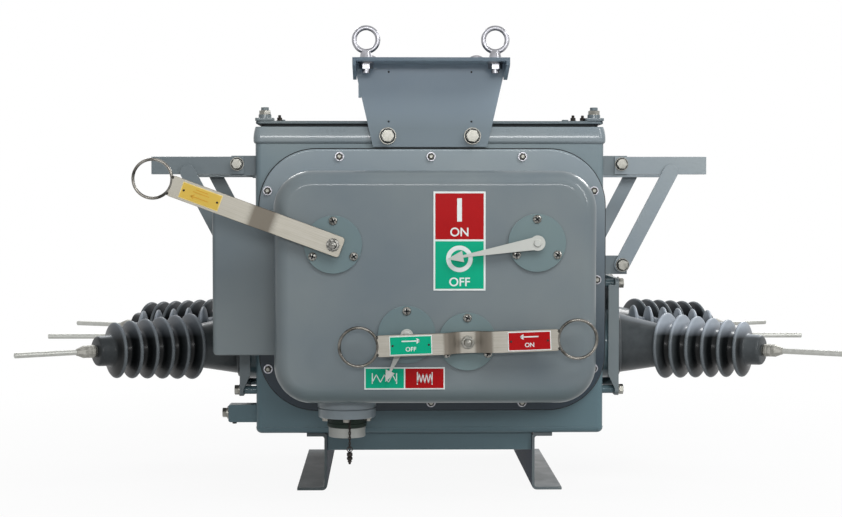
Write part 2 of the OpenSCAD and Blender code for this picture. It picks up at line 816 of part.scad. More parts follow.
// A round cable plug hanging under the cover: two flanges, a body, a threaded end and its cap's chain in front.
module cable_connector() {
  body_h = 19;
  chain_y = -connector_end_r - 3.5;
  top = cover_z - cover_h / 2;
  plug_z = top - connector_h;
  end_z = plug_z - body_h - connector_end_h;
  color(PAINT_DARK) translate([-connector_left, tank_front - 120, 0]) {
    translate([0, 0, plug_z + connector_h / 2 + 1]) cylinder(h = connector_h / 2 - 1, r = connector_r);
    translate([0, 0, plug_z]) cylinder(h = connector_h, r = connector_r - 5);
    translate([0, 0, plug_z]) cylinder(h = connector_h / 2 - 2, r = connector_r - 1);
    translate([0, 0, plug_z - body_h]) cylinder(h = body_h, r = connector_end_r - 3);
    translate([0, 0, end_z]) cylinder(h = connector_end_h, r = connector_end_r);
    translate([6, chain_y, end_z - chain_l]) cylinder(h = plug_z - end_z + chain_l, r = 2);
    translate([6, chain_y, end_z - chain_l - chain_clip_l]) cylinder(h = chain_clip_l, r = 4.5);
  }
}

module earthing_boss() {
  boss_z = tank_floor + 18;
  color(PAINT_DARK) translate([-wall_x, tank_front + 60, boss_z + boss_h / 2]) {
    translate([-boss_l, -boss_h / 2, -boss_h / 2]) cube([boss_l, boss_h, boss_h]);
    rotate([0, -90, 0]) cylinder(h = boss_l + boss_bolt_r + 3.5, r = boss_bolt_r, $fn = 6);
  }
}

tank_body();
top_band();
lid_gasket();
top_lid();
lid_lugs();
cover_flange();
mechanism_cover();
control_box();
lifting_bracket(FRONT);  // front_lifting_bracket
lifting_bracket(REAR);  // rear_lifting_bracket
eye_bolt(FRONT, LEFT);  // front_left_eye_bolt
eye_bolt(FRONT, RIGHT);  // front_right_eye_bolt
eye_bolt(REAR, LEFT);  // rear_left_eye_bolt
eye_bolt(REAR, RIGHT);  // rear_right_eye_bolt
foot(LEFT);  // left_foot
foot(RIGHT);  // right_foot
cross_plate(FRONT);  // front_cross_plate
cross_plate(REAR);  // rear_cross_plate
arms(LEFT);  // left_arms
arms(RIGHT);  // right_arms
braces(LEFT);  // left_braces
braces(RIGHT);  // right_braces
arm_lugs();
bushing_plate(LEFT);  // left_bushing_plate
bushing_plate(RIGHT);  // right_bushing_plate
necks(LEFT);  // left_necks
necks(RIGHT);  // right_necks
bushing(LEFT, -1);  // left_front_bushing
bushing(LEFT, 0);  // left_middle_bushing
bushing(LEFT, 1);  // left_rear_bushing
bushing(RIGHT, -1);  // right_front_bushing
bushing(RIGHT, 0);  // right_middle_bushing
bushing(RIGHT, 1);  // right_rear_bushing
terminals(LEFT);  // left_terminals
terminals(RIGHT);  // right_terminals
pivot_plates();
position_sign();
charge_sign();
charging_lever();
charging_lever_shaft();
trip_handle();
trip_handle_shaft();
position_pointer();
charge_pointer();
cable_connector();
earthing_boss();
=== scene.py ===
"""Looks of an outdoor vacuum circuit breaker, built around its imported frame.

+Z is up, and the front faces -Y. Places are in metres. Radii, outlines and the sizes of hardware are in
millimetres.
"""

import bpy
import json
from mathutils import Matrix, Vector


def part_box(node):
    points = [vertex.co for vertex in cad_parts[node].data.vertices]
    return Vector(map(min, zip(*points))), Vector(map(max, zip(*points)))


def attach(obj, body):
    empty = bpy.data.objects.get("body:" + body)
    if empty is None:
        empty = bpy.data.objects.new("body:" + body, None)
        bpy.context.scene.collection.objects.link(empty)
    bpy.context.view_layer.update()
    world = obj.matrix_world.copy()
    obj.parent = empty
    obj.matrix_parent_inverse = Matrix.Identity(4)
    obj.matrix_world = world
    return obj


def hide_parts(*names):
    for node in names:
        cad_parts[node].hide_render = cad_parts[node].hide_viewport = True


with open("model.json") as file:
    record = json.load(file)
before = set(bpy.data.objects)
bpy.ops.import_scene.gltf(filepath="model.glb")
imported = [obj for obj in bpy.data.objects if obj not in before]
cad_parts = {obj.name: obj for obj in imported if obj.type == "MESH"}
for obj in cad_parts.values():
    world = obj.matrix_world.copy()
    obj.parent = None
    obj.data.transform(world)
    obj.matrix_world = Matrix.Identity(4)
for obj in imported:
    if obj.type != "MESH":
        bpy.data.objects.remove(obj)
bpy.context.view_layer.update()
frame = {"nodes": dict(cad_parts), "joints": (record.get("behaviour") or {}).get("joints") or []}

import contextlib
import json
import math

import bmesh
import bpy
from mathutils import Matrix, Vector

MM = 0.001
LEFT, RIGHT = -1, 1
HANDS = ((LEFT, "left"), (RIGHT, "right"))
FORWARDS = Vector((0, -1, 0))
UP = Vector((0, 0, 1))
# The bushings of each side, front to rear, with their turn about the upright and the length of their skirts
PHASES = {-1: "front", 0: "middle", 1: "rear"}
SPLAY = {-1: -32, 0: 0, 1: 24}
SKIRT = {-1: 112, 0: 63, 1: 112}
# The distance between bushings, that between sheds, how many sheds, and the length of the hub and of the foot
BUSHING_PITCH = 190
SHED_PITCH = 33
SHEDS = 6
HUB = 42
PAD = 7


class Span:
    """The box of a CAD node: its lowest and highest corners, its middle and its size."""

    def __init__(self, node):
        low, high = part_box(node)
        self.lo = Vector(low)
        self.hi = Vector(high)
        self.mid = (self.lo + self.hi) / 2
        self.size = self.hi - self.lo


tank = Span("tank_body")
band = Span("top_band")
lid = Span("top_lid")
flange = Span("cover_flange")
cover = Span("mechanism_cover")
bushing_plate = Span("right_bushing_plate")
PIVOT = {joint["child"]: Vector(joint["pos_m"]) for joint in frame["joints"]}


def polar(radius, degrees):
    """The two coordinates of a place on a circle."""
    turn = math.radians(degrees)
    return radius * math.cos(turn), radius * math.sin(turn)


def add_camera():
    """A long lens at chest height, a little left of the middle, straight at the front."""
    place = (-0.087, tank.lo.y - 3.4, 0.604)
    turn = (math.radians(90 - 2.14), 0, math.radians(-1.16))
    bpy.ops.object.camera_add(location=place, rotation=turn)
    camera = bpy.context.object
    camera.data.lens = 71.6
    camera.data.sensor_width = 36
    bpy.context.scene.camera = camera


# ---- finishes

def srgb(red, green, blue):
    """A colour given as it looks, 0 to 255, as the numbers that a shader wants."""
    def linear(level):
        level /= 255
        return level / 12.92 if level <= 0.04045 else ((level + 0.055) / 1.055) ** 2.4
    return (linear(red), linear(green), linear(blue), 1)


def scaled(colour, *shares):
    """A colour with its red, green and blue each multiplied by a share."""
    return tuple(level * share for level, share in zip(colour, shares)) + (1,)


class Amount:
    """A number that changes over a surface. Sums of it add maths nodes."""

    def __init__(self, shading, socket):
        self.shading = shading
        self.socket = socket

    def maths(self, operation, *values):
        node = self.shading.node("ShaderNodeMath", {"operation": operation}, dict(enumerate(values)))
        return Amount(self.shading, node.outputs[0])

    def __add__(self, other):
        return self.maths("ADD", self, other)

    def __sub__(self, other):
        return self.maths("SUBTRACT", self, other)

    def __rsub__(self, other):
        return self.maths("SUBTRACT", other, self)

    def __mul__(self, other):
        return self.maths("MULTIPLY", self, other)

    def between(self, low, high):
        """0 below low, 1 above high and a straight slope from one to the other."""
        inputs = {"Value": self, "From Min": low, "From Max": high}
        node = self.shading.node("ShaderNodeMapRange", {"clamp": True}, inputs)
        return Amount(self.shading, node.outputs[0])


class Shading:
    """The nodes of a material or a world. One method adds any node, and the rest call it for common ones."""

    def __init__(self, owner):
        owner.use_nodes = True
        self.owner = owner
        self.tree = owner.node_tree

    def node(self, kind, settings=None, inputs=None):
        node = self.tree.nodes.new(kind)
        for name, value in (settings or {}).items():
            setattr(node, name, value)
        for key, value in (inputs or {}).items():
            if isinstance(value, Amount):
                value = value.socket
            if isinstance(value, bpy.types.NodeSocket):
                self.tree.links.new(value, node.inputs[key])
            else:
                node.inputs[key].default_value = value
        return node

    def where(self, turn=(0, 0, 0), stretch=(1, 1, 1)):
        """Object coordinates, turned and then stretched."""
        coordinates = self.node("ShaderNodeTexCoord").outputs["Object"]
        turned = self.node("ShaderNodeMapping", {}, {"Vector": coordinates, "Rotation": turn})
        stretched = self.node("ShaderNodeMapping", {}, {"Vector": turned.outputs[0], "Scale": stretch})
        return stretched.outputs[0]

    def noise(self, scale, detail, where=None):
        inputs = {"Vector": where or self.where(), "Scale": scale, "Detail": detail}
        return Amount(self, self.node("ShaderNodeTexNoise", {}, inputs).outputs[0])

    def vector_maths(self, operation, *values):
        return self.node("ShaderNodeVectorMath", {"operation": operation}, dict(enumerate(values))).outputs

    def part(self, vector, axis):
        return Amount(self, self.node("ShaderNodeSeparateXYZ", {}, {0: vector}).outputs[axis])

    def height(self):
        return self.part(self.where(), 2)

    def facing(self, axis):
        """1 on a surface that looks along an axis, 0 on one beside it, less than 0 on one that looks back."""
        return self.part(self.node("ShaderNodeNewGeometry").outputs["Normal"], axis)

    def blend(self, mask, low, high):
        """The colour low where the mask is 0 and high where it is 1."""
        return self.node("ShaderNodeMix", {"data_type": "RGBA"}, {0: mask, 6: low, 7: high}).outputs[2]

    def background_share(self):
        """1 for what a camera, a mirror or glass sees of the floor or the sky, else 0."""
        seen = self.node("ShaderNodeLightPath").outputs
        names = ("Is Camera Ray", "Is Glossy Ray", "Is Transmission Ray")
        camera, mirror, glass = (Amount(self, seen[name]) for name in names)
        return (camera + mirror + glass).between(0, 1)

    def mixed(self, output, share, near, far):
        """Ends in one shader where the share is 0 and in another where it is 1."""
        mix = self.node("ShaderNodeMixShader", {}, {0: share, 1: near.outputs[0], 2: far.outputs[0]})
        self.tree.links.new(mix.outputs[0], self.tree.nodes[output].inputs["Surface"])


class Finish(Shading):
    """A material, with some of its shader's sockets fixed."""

    def __init__(self, name, **fixed):
        super().__init__(bpy.data.materials.new(name))
        self.shader = self.tree.nodes["Principled BSDF"]
        for socket, value in fixed.items():
            self.shader.inputs[socket.replace("_", " ")].default_value = value

    def set(self, socket, value):
        source = value.socket if isinstance(value, Amount) else value
        self.tree.links.new(source, self.shader.inputs[socket])

    def made(self, colour, roughness, height, depth, strength):
        """The material, with its colour, its roughness and a relief of a depth in metres."""
        self.set("Base Color", colour)
        self.set("Roughness", roughness)
        relief = {"Height": height, "Distance": depth, "Strength": strength}
        self.set("Normal", self.node("ShaderNodeBump", {}, relief).outputs[0])
        return self.owner


def paint(name, colour, gloss=0.3, coat=0.3, low=None, bottom=0.2, top=0.7):
    """Sprayed enamel: orange peel, slow shifts of tone, and a little dust on what faces up.

    Given a low colour, it goes from that at the bottom height to its own colour at the top height: painted
    shade low down and painted light higher up.
    """
    finish = Finish(name, Specular_IOR_Level=0.5 * coat, Coat_Weight=coat, Coat_Roughness=0.06)
    clouds = finish.noise(5, 3).between(0.3, 0.7)
    specks = finish.noise(260, 2).between(0.45, 0.8)
    dust_and_top_light = finish.facing(2).between(0.5, 1) * finish.noise(18, 4).between(0.35, 0.75)
    toned = finish.blend(clouds, scaled(colour, 0.84, 0.87, 0.9), scaled(colour, 1.1, 1.07, 1.03))
    # Painted shade and light: darker towards the bottom, lighter towards the top, as light from above falls.
    if low:
        toned = finish.blend(finish.height().between(bottom, top), low, toned)
    dusty = Vector(scaled(colour, 1.3, 1.25, 1.2)) + Vector((0.01, 0.01, 0.008, 0))
    rough = clouds * 0.06 + specks * 0.05 + dust_and_top_light * 0.2 + gloss
    peel = finish.noise(420, 1) + finish.noise(95, 1) * 1.5
    return finish.made(finish.blend(dust_and_top_light * 0.35, toned, dusty), rough, peel, 0.00016, 0.4)


def brushed(name, colour, turn):
    """Stainless steel with fine scratches along X, turned about the front's normal. Its sloping faces get a
    painted reflection, darker and browner.
    """
    finish = Finish(name, Metallic=1.0)
    scratches = finish.noise(1, 3, finish.where((0, turn, 0), (12, 900, 900)))
    stains = finish.noise(26, 3).between(0.35, 0.75)
    streaks = scratches.between(0.25, 0.7) * 0.6 + stains * 0.3
    streaked = finish.blend(streaks, scaled(colour, 0.66, 0.65, 0.61), colour)
    # Painted reflection: faces that slope away from the front are darker and browner.
    front = finish.facing(1)
    sloping = 1 - front.maths("ABSOLUTE", front)
    tone = finish.blend(sloping.between(0.012, 0.05) * 0.85, streaked, scaled(colour, 0.5, 0.46, 0.42))
    return finish.made(tone, scratches * 0.16 + stains * 0.08 + 0.3, scratches, 0.00008, 0.35)


def plated(name, colour, rough, shade=0.6, scale=110):
    """Zinc plate or tin, slightly pitted, with clouds that go down to a shade of the colour: partly cloudy
    plating, partly painted reflections of darker surroundings.
    """
    finish = Finish(name, Metallic=1.0)
    # The clouds: cloudy plating and painted reflections of darker surroundings.
    clouds = finish.noise(scale, 4).between(0.36, 0.66)
    pits = finish.noise(900, 2)
    tone = finish.blend(clouds, scaled(colour, shade, shade, shade * 0.98), colour)
    return finish.made(tone, clouds * 0.12 + pits * 0.06 + rough, pits, 0.00006, 0.4)


def silicone(name, foot, axis, skirt, shed_top_light, shed_shade):
    """Moulded silicone along an axis: grey skirt, painted shade on the sheds and in their gaps, painted
    highlights on the rims and painted light on top.
    """
    finish = Finish(name, Specular_IOR_Level=0.12, Coat_Weight=0.12, Coat_Roughness=0.2)
    offset = finish.vector_maths("SUBTRACT", finish.where(), foot)[0]
    along = Amount(finish, finish.vector_maths("DOT_PRODUCT", offset, axis)["Value"])
    reach = Amount(finish, finish.vector_maths("LENGTH", offset)["Value"])
    squared = reach * reach - along * along
    radius = squared.maths("POWER", squared, 0.5)
    sheds = along.between(skirt - 14 * MM, skirt - 8 * MM)
    # Painted shade in the gaps between the sheds, nearly black.
    gap_shade = sheds * (1 - radius.between(46 * MM, 63 * MM)) * (1 - along.between(skirt + 0.172, skirt + 0.178))
    # A painted highlight along each shed's rim.
    rim = sheds * (radius + (along - skirt) * 0.07).between(63.6 * MM, 66.4 * MM)
    # Painted light on the upper sheds and on faces that look up, where light from above falls.
    crest = finish.height().between(foot.z + 24 * MM, foot.z + 62 * MM)
    dust_and_top_light = (sheds * crest * shed_top_light + finish.facing(2).between(0.86, 1) * 0.4).between(0, 1)
    mottle = finish.noise(40, 4).between(0.3, 0.75)
    patches = finish.noise(14, 4).between(0.2, 0.7)
    body = finish.blend(mottle, srgb(58, 62, 64), srgb(72, 76, 78))
    # Painted shade darkens the sheds of the bushings that lie in shade.
    body = finish.blend(sheds * shed_shade, body, srgb(10, 14, 16))
    body = finish.blend(gap_shade * 0.95, body, srgb(9, 11, 12))
    body = finish.blend(rim * 0.6, body, srgb(104, 110, 114))
    tone = finish.blend(dust_and_top_light * (patches * 0.25 + 0.7), body, srgb(158, 166, 175))
    return finish.made(tone, dust_and_top_light * 0.15 + mottle * 0.08 + 0.34, finish.noise(520, 2), 0.00012, 0.4)


def enamel(name, colour, rough=0.28):
    """Printed enamel on a sign, nearly even, with fine grain and a soft fade."""
    finish = Finish(name, Specular_IOR_Level=0.1)
    fade = finish.noise(16, 3).between(0.3, 0.75)
    tone = finish.blend(fade, scaled(colour, 0.9, 0.92, 0.92), colour)
    return finish.made(tone, fade * 0.08 + rough, finish.noise(600, 1), 0.00005, 0.3)


def rubber():
    finish = Finish("seal_rubber", Specular_IOR_Level=0.3)
    grime_and_shadow = finish.noise(60, 4).between(0.3, 0.7)
    tone = finish.blend(grime_and_shadow, srgb(24, 27, 29), srgb(48, 52, 54))
    return finish.made(tone, grime_and_shadow * 0.1 + 0.62, finish.noise(300, 3), 0.0002, 0.4)


# How far the lever and the handle are turned at rest
LEVER_TURN = math.radians(20.3)
HANDLE_TURN = math.radians(2)
GREY = srgb(98, 107, 111)
PAINT = paint("grey_enamel", GREY)
# The cover's paint is painted darker at its foot: painted shade on its lower rounding.
PAINT_COVER = paint(
    "cover_enamel", GREY, low=srgb(72, 88, 90), bottom=cover.lo.z - 5 * MM, top=cover.lo.z + 42 * MM
)
# The flange's paint is lighter than the grey, as painted light from above, and dark at the bottom, as the
# painted shadow that the cover casts on the lower flange.
PAINT_FLANGE = paint("flange_enamel", srgb(124, 135, 141), low=srgb(40, 52, 62), bottom=0.27)
# The bracket's paint is painted lighter at the top and darker lower down: painted light and shade.
PAINT_BLUE = paint(
    "bracket_enamel", srgb(138, 154, 168), 0.36, low=srgb(104, 116, 123), bottom=0.74, top=0.86
)
# The tank's paint is painted darker towards the bottom and lighter towards the top, as light from above
# falls.
PAINT_DARK = paint("tank_enamel", srgb(107, 120, 125), 0.34, low=srgb(82, 104, 111), bottom=0.3)
# A darker copy of the grey for the left foot: painted shade on the side away from the light.
PAINT_FOOT = paint("foot_enamel", srgb(90, 97, 99), 0.44, coat=0.12)
PAINT_PLATE = paint("plate_enamel", srgb(92, 109, 112))
PAINT_LID = paint("lid_enamel", GREY, 0.55, coat=0.03)
# A darker, duller copy of the bracket's paint for the shelf: painted shade on its top and front edge.
PAINT_SHELF = paint("shelf_enamel", srgb(89, 101, 111), 0.55, coat=0.03)
PAINT_SHADE = paint("shaded_enamel", srgb(26, 42, 62), 0.6, coat=0.04)
# A lighter, glossier copy of the grey for the band: painted light on the top of the tank.
PAINT_BAND = paint("band_enamel", srgb(112, 122, 127), 0.24, coat=0.45)
# A lighter copy of the grey: painted light on the right arms and braces, on the side that faces the light.
# The plug's flanges wear it too.
PAINT_LIGHT = paint("arm_enamel", srgb(126, 135, 140), 0.36)
SEAL = rubber()
LEVER_STEEL = brushed("lever_steel", srgb(158, 155, 147), -LEVER_TURN)
HANDLE_STEEL = brushed("handle_steel", srgb(160, 157, 150), HANDLE_TURN)
# Deep, broad clouds on the polished wire: painted reflections, the dark segments of a polished ring.
CHROME = plated("polished_wire", srgb(136, 133, 127), 0.12, 0.2, 40)
ZINC = plated("zinc_plate", srgb(168, 168, 174), 0.24, 0.7)
BOLT_STEEL = plated("bolt_steel", srgb(147, 146, 140), 0.26, 0.66)
NUT_STEEL = plated("nut_steel", srgb(66, 65, 62), 0.28, 0.5)
SCREW_STEEL = plated("screw_steel", srgb(158, 157, 152), 0.2, 0.22, 300)
DARK_STEEL = plated("blackened_steel", srgb(64, 60, 58), 0.45)
ROD_METAL = plated("tinned_rod", srgb(184, 185, 181), 0.38, 0.84)
CRIMP = plated("crimped_clamp", srgb(168, 167, 161), 0.48, 0.62)
POINTER_PAINT = enamel("pointer_enamel", srgb(174, 175, 170), 0.4)
RED = enamel("red_enamel", srgb(152, 8, 13))
GREEN = enamel("green_enamel", srgb(0, 147, 112))
WHITE = enamel("white_enamel", srgb(204, 209, 207))
YELLOW = enamel("yellow_label", srgb(196, 164, 74), 0.35)
YELLOW_DEEP = enamel("yellow_print", srgb(190, 140, 48), 0.4)
YELLOW_PALE = enamel("yellow_border", srgb(212, 190, 124), 0.4)
PLUG_GREY = enamel("plug_alloy", srgb(160, 161, 157), 0.4)
THROAT = enamel("plug_throat", srgb(34, 44, 38), 0.4)


# ---- modelling

def activate(piece):
    bpy.ops.object.select_all(action="DESELECT")
    piece.select_set(True)
    bpy.context.view_layer.objects.active = piece


@contextlib.contextmanager
def editing(piece, mode="FACE"):
    """Edit mode on one piece, with nothing selected."""
    activate(piece)
    bpy.ops.object.mode_set(mode="EDIT")
    bpy.ops.mesh.select_mode(type=mode)
    bpy.ops.mesh.select_all(action="DESELECT")
    yield
    bpy.ops.object.mode_set(mode="OBJECT")


def pick(piece, kind, test):
    """In edit mode, selects the faces, edges or verts that pass a test."""
    mesh = bmesh.from_edit_mesh(piece.data)
    for element in getattr(mesh, kind):
        if test(element):
            element.select_set(True)
    mesh.select_flush_mode()
    bmesh.update_edit_mesh(piece.data)


def extrude(*move):
    """In edit mode, pulls what is selected out along a move."""
    bpy.ops.mesh.extrude_region_move(TRANSFORM_OT_translate={"value": move})


def modified(piece, kind, **settings):
    """Gives a piece a modifier's change for good."""
    modifier = piece.modifiers.new(kind, kind)
    for name, value in settings.items():
        setattr(modifier, name, value)
    activate(piece)
    bpy.ops.object.modifier_apply(modifier=modifier.name)


def faces_towards(direction, x=None):
    """A test for faces that look along a direction, and lie at a place along X if one is given."""
    def test(face):
        if face.normal.dot(direction) < 0.99:
            return False
        return x is None or abs(face.calc_center_median().x - x) < 0.05 * MM
    return test


def edges_at(axis, *values):
    """A test for edges that lie wholly at one of the places given along an axis."""
    def test(edge):
        ends = [vert.co[axis] for vert in edge.verts]
        return any(all(abs(end - value) < 0.02 * MM for end in ends) for value in values)
    return test


def edges_along(axis):
    """A test for straight edges that run along an axis."""
    def test(edge):
        run = edge.verts[1].co - edge.verts[0].co
        return run.length > 0 and abs(run[axis]) > 0.999 * run.length
    return test


def round_edges(piece, *rounds):
    """Rounds the edges that pass each test, to its radius, in so many segments."""
    for test, radius, segments in rounds:
        with editing(piece, "EDGE"):
            pick(piece, "edges", test)
            bpy.ops.mesh.bevel(offset=radius * MM, segments=segments, affect="EDGES", clamp_overlap=True)


def named(name):
    """Names the piece just made, and with all else deselected works its place and size into its mesh."""
    piece = bpy.context.object
    activate(piece)
    piece.name = name
    piece.data.name = name
    bpy.ops.object.transform_apply(location=True, rotation=True, scale=True)
    return piece


def block(name, lo, hi):
    """A box between two corners."""
    lo, hi = Vector(lo), Vector(hi)
    bpy.ops.mesh.primitive_cube_add(size=1, location=(lo + hi) / 2)
    bpy.context.object.scale = hi - lo
    return named(name)


def slab(name, lo, hi):
    """A box between two corners in millimetres."""
    return block(name, Vector(lo) * MM, Vector(hi) * MM)


def lathe(name, outline, sides, base=0):
    """A turned piece along +Z from (radius, height) pairs over a base height, closed at both ends."""
    outline = [(radius * MM, (base + height) * MM) for radius, height in outline]
    radius, height = outline[0]
    foot = (0, 0, height)
    bpy.ops.mesh.primitive_circle_add(vertices=sides, radius=radius, location=foot, fill_type="NGON")
    piece = named(name)
    with editing(piece):
        bpy.ops.mesh.select_all(action="SELECT")
        for (r0, z0), (r1, z1) in zip(outline, outline[1:]):
            extrude(0, 0, z1 - z0)
            bpy.ops.transform.resize(value=(r1 / r0, r1 / r0, 1), center_override=(0, 0, z1))
        bpy.ops.mesh.select_all(action="SELECT")
        bpy.ops.mesh.normals_make_consistent(inside=False)
    return piece


def ring(name, radius, wire, sides, wire_sides):
    """A round wire ring about Z."""
    bpy.ops.mesh.primitive_torus_add(
        major_radius=radius * MM, minor_radius=wire * MM, major_segments=sides, minor_segments=wire_sides
    )
    return named(name)


def joined(name, pieces):
    activate(pieces[0])
    for piece in pieces:
        piece.select_set(True)
    if len(pieces) > 1:
        bpy.ops.object.join()
    return named(name)


def placed(piece, place):
    """Moves a piece's mesh to its place, and turns it right side out if the place mirrors it."""
    piece.data.transform(place)
    if place.determinant() < 0:
        piece.data.flip_normals()
    return piece


def repeated(template, places):
    """One joined piece with a copy of the template at each place."""
    name = template.name
    copies = []
    for place in places:
        copy = bpy.data.objects.new(name, template.data.copy())
        bpy.context.scene.collection.objects.link(copy)
        copies.append(placed(copy, place))
    bpy.data.objects.remove(template)
    return joined(name, copies)


def standing(place, direction, spin=0.0):
    """A place whose +Z points along a direction, after a spin about +Z."""
    turn = UP.rotation_difference(Vector(direction)).to_matrix().to_4x4()
    return Matrix.Translation(place) @ turn @ Matrix.Rotation(spin, 4, "Z")


def fore_and_aft(x, y, z, front_spin=0.0, rear_spin=0.0):
    """A place at the tank's front and the same one at its rear, each facing outwards."""
    rear_y = 2 * tank.mid.y - y
    return [standing((x, y, z), FORWARDS, front_spin), standing((x, rear_y, z), -FORWARDS, rear_spin)]


def coat(piece, material):
    piece.data.materials.clear()
    piece.data.materials.append(material)


def done(piece, material, body="housing", angle=32):
    """Shades a piece with its large faces flat, gives it its material and hangs it on its body."""
    coat(piece, material)
    activate(piece)
    bpy.ops.object.shade_smooth_by_angle(angle=math.radians(angle))
    modified(piece, "WEIGHTED_NORMAL", keep_sharp=True)
    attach(piece, body)
    return piece


def fitting(piece, material, body="housing"):
    """Finishes a small part with its material, on the housing unless another body is given."""
    return done(piece, material, body)


def hardware(template, material, places):
    return fitting(repeated(template, places), material)


def tinted(piece, finish, test):
    """Gives a second finish to the faces that pass a test."""
    piece.data.materials.append(finish)
    for face in piece.data.polygons:
        face.material_index = 1 if test(face) else 0


def softened(node, radius, material, segments=2, body="housing"):
    """A copy of a CAD node's shape with its sharp edges broken, standing for the node."""
    mesh = frame["nodes"][node].data.copy()
    mesh.materials.clear()
    piece = bpy.data.objects.new(node + "_finished", mesh)
    bpy.context.scene.collection.objects.link(piece)
    with editing(piece, "VERT"):
        bpy.ops.mesh.select_all(action="SELECT")
        bpy.ops.mesh.customdata_custom_splitnormals_clear()
        bpy.ops.mesh.remove_doubles(threshold=0.01 * MM)
        bpy.ops.mesh.dissolve_limited(angle_limit=math.radians(0.5))
        bpy.ops.mesh.normals_make_consistent(inside=False)
    corner = math.radians(35)
    modified(piece, "BEVEL", width=radius * MM, segments=segments, limit_method="ANGLE", angle_limit=corner)
    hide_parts(node)
    return done(piece, material, body)


# ---- fasteners

def hexagon(name, across, height, base=0.0):
    """A hexagonal head or nut on +Z, with its top corners turned off."""
    corner_r = across * MM / math.sqrt(3)
    middle = (0, 0, (base + height / 2) * MM)
    bpy.ops.mesh.primitive_cylinder_add(vertices=6, radius=corner_r, depth=height * MM, location=middle)
    piece = named(name)
    round_edges(piece, (edges_at(2, (base + height) * MM), 0.9, 2))
    return piece


def disc(name, radius, height, base=0.0, sides=32, edge=0.4):
    """A washer or round plate on +Z with its rim broken."""
    side = [(radius, 0), (radius, height - edge)]
    return lathe(name, side + [(radius - edge, height), (0.2, height)], sides, base)


def bolt(name, across, head, washer_r, washer_t, spring=0.0):
    """A hexagon bolt on +Z: washer, spring washer if it has one, and head."""
    pieces = [disc(name, washer_r, washer_t), hexagon(name, across, head, washer_t + spring)]
    if spring:
        pieces.append(disc(name, across * 0.55, spring, washer_t))
    return joined(name, pieces)


def seated_bolts(name, places, across, head, washer_r, washer_t, spring):
    """A bolt at each place, with a dark ring of painted shadow on the washer round its head."""
    hardware(bolt(name, across, head, washer_r, washer_t, spring), BOLT_STEEL, places)
    # A thin dark disc round the head: painted shadow.
    hardware(disc(name + "_grime", across * 0.66, 0.5, washer_t - 0.1, 24, 0.1), SEAL, places)


def stud_nut(name, across, nut, washer_r, washer_t, stud_r, stud_l):
    """A nut on a stud, with a washer, on +Z."""
    stud = disc(name, stud_r, washer_t + nut + stud_l, sides=20, edge=0.7)
    return joined(name, [disc(name, washer_r, washer_t), hexagon(name, across, nut, washer_t), stud])


def cross(name, radius, low, high):
    """The two crossed bars of a screw's recess."""
    arm, width = radius * 0.66, radius * 0.19
    return [slab(name, (-x, -y, low), (x, y, high)) for x, y in ((arm, width), (width, arm))]


def cross_screw(name, radius, height):
    """A domed screw head on +Z with a cross recess."""
    dome = [(radius, 0), (radius, height * 0.3)]
    for out, up in (polar(1, angle) for angle in range(15, 90, 15)):
        dome.append((radius * out, height * (0.3 + 0.7 * up)))
    screw = lathe(name, dome + [(0.2, height)], 32)
    for slot in cross(name, radius, height * 0.35, height * 2):
        modified(screw, "BOOLEAN", operation="DIFFERENCE", solver="EXACT", object=slot)
        bpy.data.objects.remove(slot)
    return screw


# ---- tank, lid and cover

def finish_tank():
    """The tank's folded shell with the lip of its welded floor, and the rolled band round its top."""
    shell = block("tank_shell", tank.lo + Vector((0, 0, 12 * MM)), tank.hi)
    round_edges(shell, (edges_along(2), 13, 6))
    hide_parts("tank_body")
    done(shell, PAINT_DARK)
    lip = Vector((0.8 * MM, 0.8 * MM, 0))
    floor_top = tank.lo.z + 13 * MM
    pan = block("tank_floor", tank.lo - lip, (tank.hi.x + lip.x, tank.hi.y + lip.y, floor_top))
    upper, lower = edges_at(2, floor_top), edges_at(2, tank.lo.z)
    round_edges(pan, (edges_along(2), 14, 6), (upper, 0.6, 2), (lower, 11, 4))
    done(pan, PAINT_DARK)
    crown = band.hi.z + 0.2 * MM
    slope, lean = 13 * MM, 8 * MM
    rolled = block("rolled_band", band.lo, (band.hi.x, band.hi.y, crown))
    round_edges(rolled, (edges_along(2), 15, 8))
    with editing(rolled):
        pick(rolled, "faces", faces_towards(UP))
        bpy.ops.transform.translate(value=(0, 0, -slope))
        extrude(0, 0, slope)
        shrunk = (1 - lean / band.size.x, 1 - lean / band.size.y, 1)
        bpy.ops.transform.resize(value=shrunk, center_override=band.mid)
    shoulder, rim, foot = edges_at(2, crown - slope), edges_at(2, crown), edges_at(2, band.lo.z)
    round_edges(rolled, (shoulder, 10.5, 7), (rim, 1.8, 3), (foot, 7, 5))
    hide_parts("top_band")
    done(rolled, PAINT_BAND)


def finish_lid():
    coat(frame["nodes"]["lid_gasket"], SEAL)
    plate = block("lid_plate", lid.lo, lid.hi)
    round_edges(plate, (edges_along(2), 12, 6), (edges_at(2, lid.hi.z), 2, 3), (edges_at(2, lid.lo.z), 1, 1))
    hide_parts("top_lid")
    done(plate, PAINT_LID)
    lugs = Span("lid_lugs")
    inset = 19 * MM
    corners = [
        Matrix.Translation((x, y, lid.hi.z + 13 * MM))
        for x in (lugs.lo.x + inset, lugs.hi.x - inset)
        for y in (lugs.lo.y + inset, lugs.hi.y - inset)
    ]
    hardware(stud_nut("lid_corner_nuts", 22, 7, 12.5, 1.5, 7.9, 0.5), BOLT_STEEL, corners)
    small = [
        Matrix.Translation((x, lid.lo.y + back * MM, lid.hi.z))
        for x, back in ((0.292, 14), (0.312, 20), (-0.305, 14))
    ]
    hardware(stud_nut("lid_small_studs", 10, 6, 8, 1, 3, 5), DARK_STEEL, small)


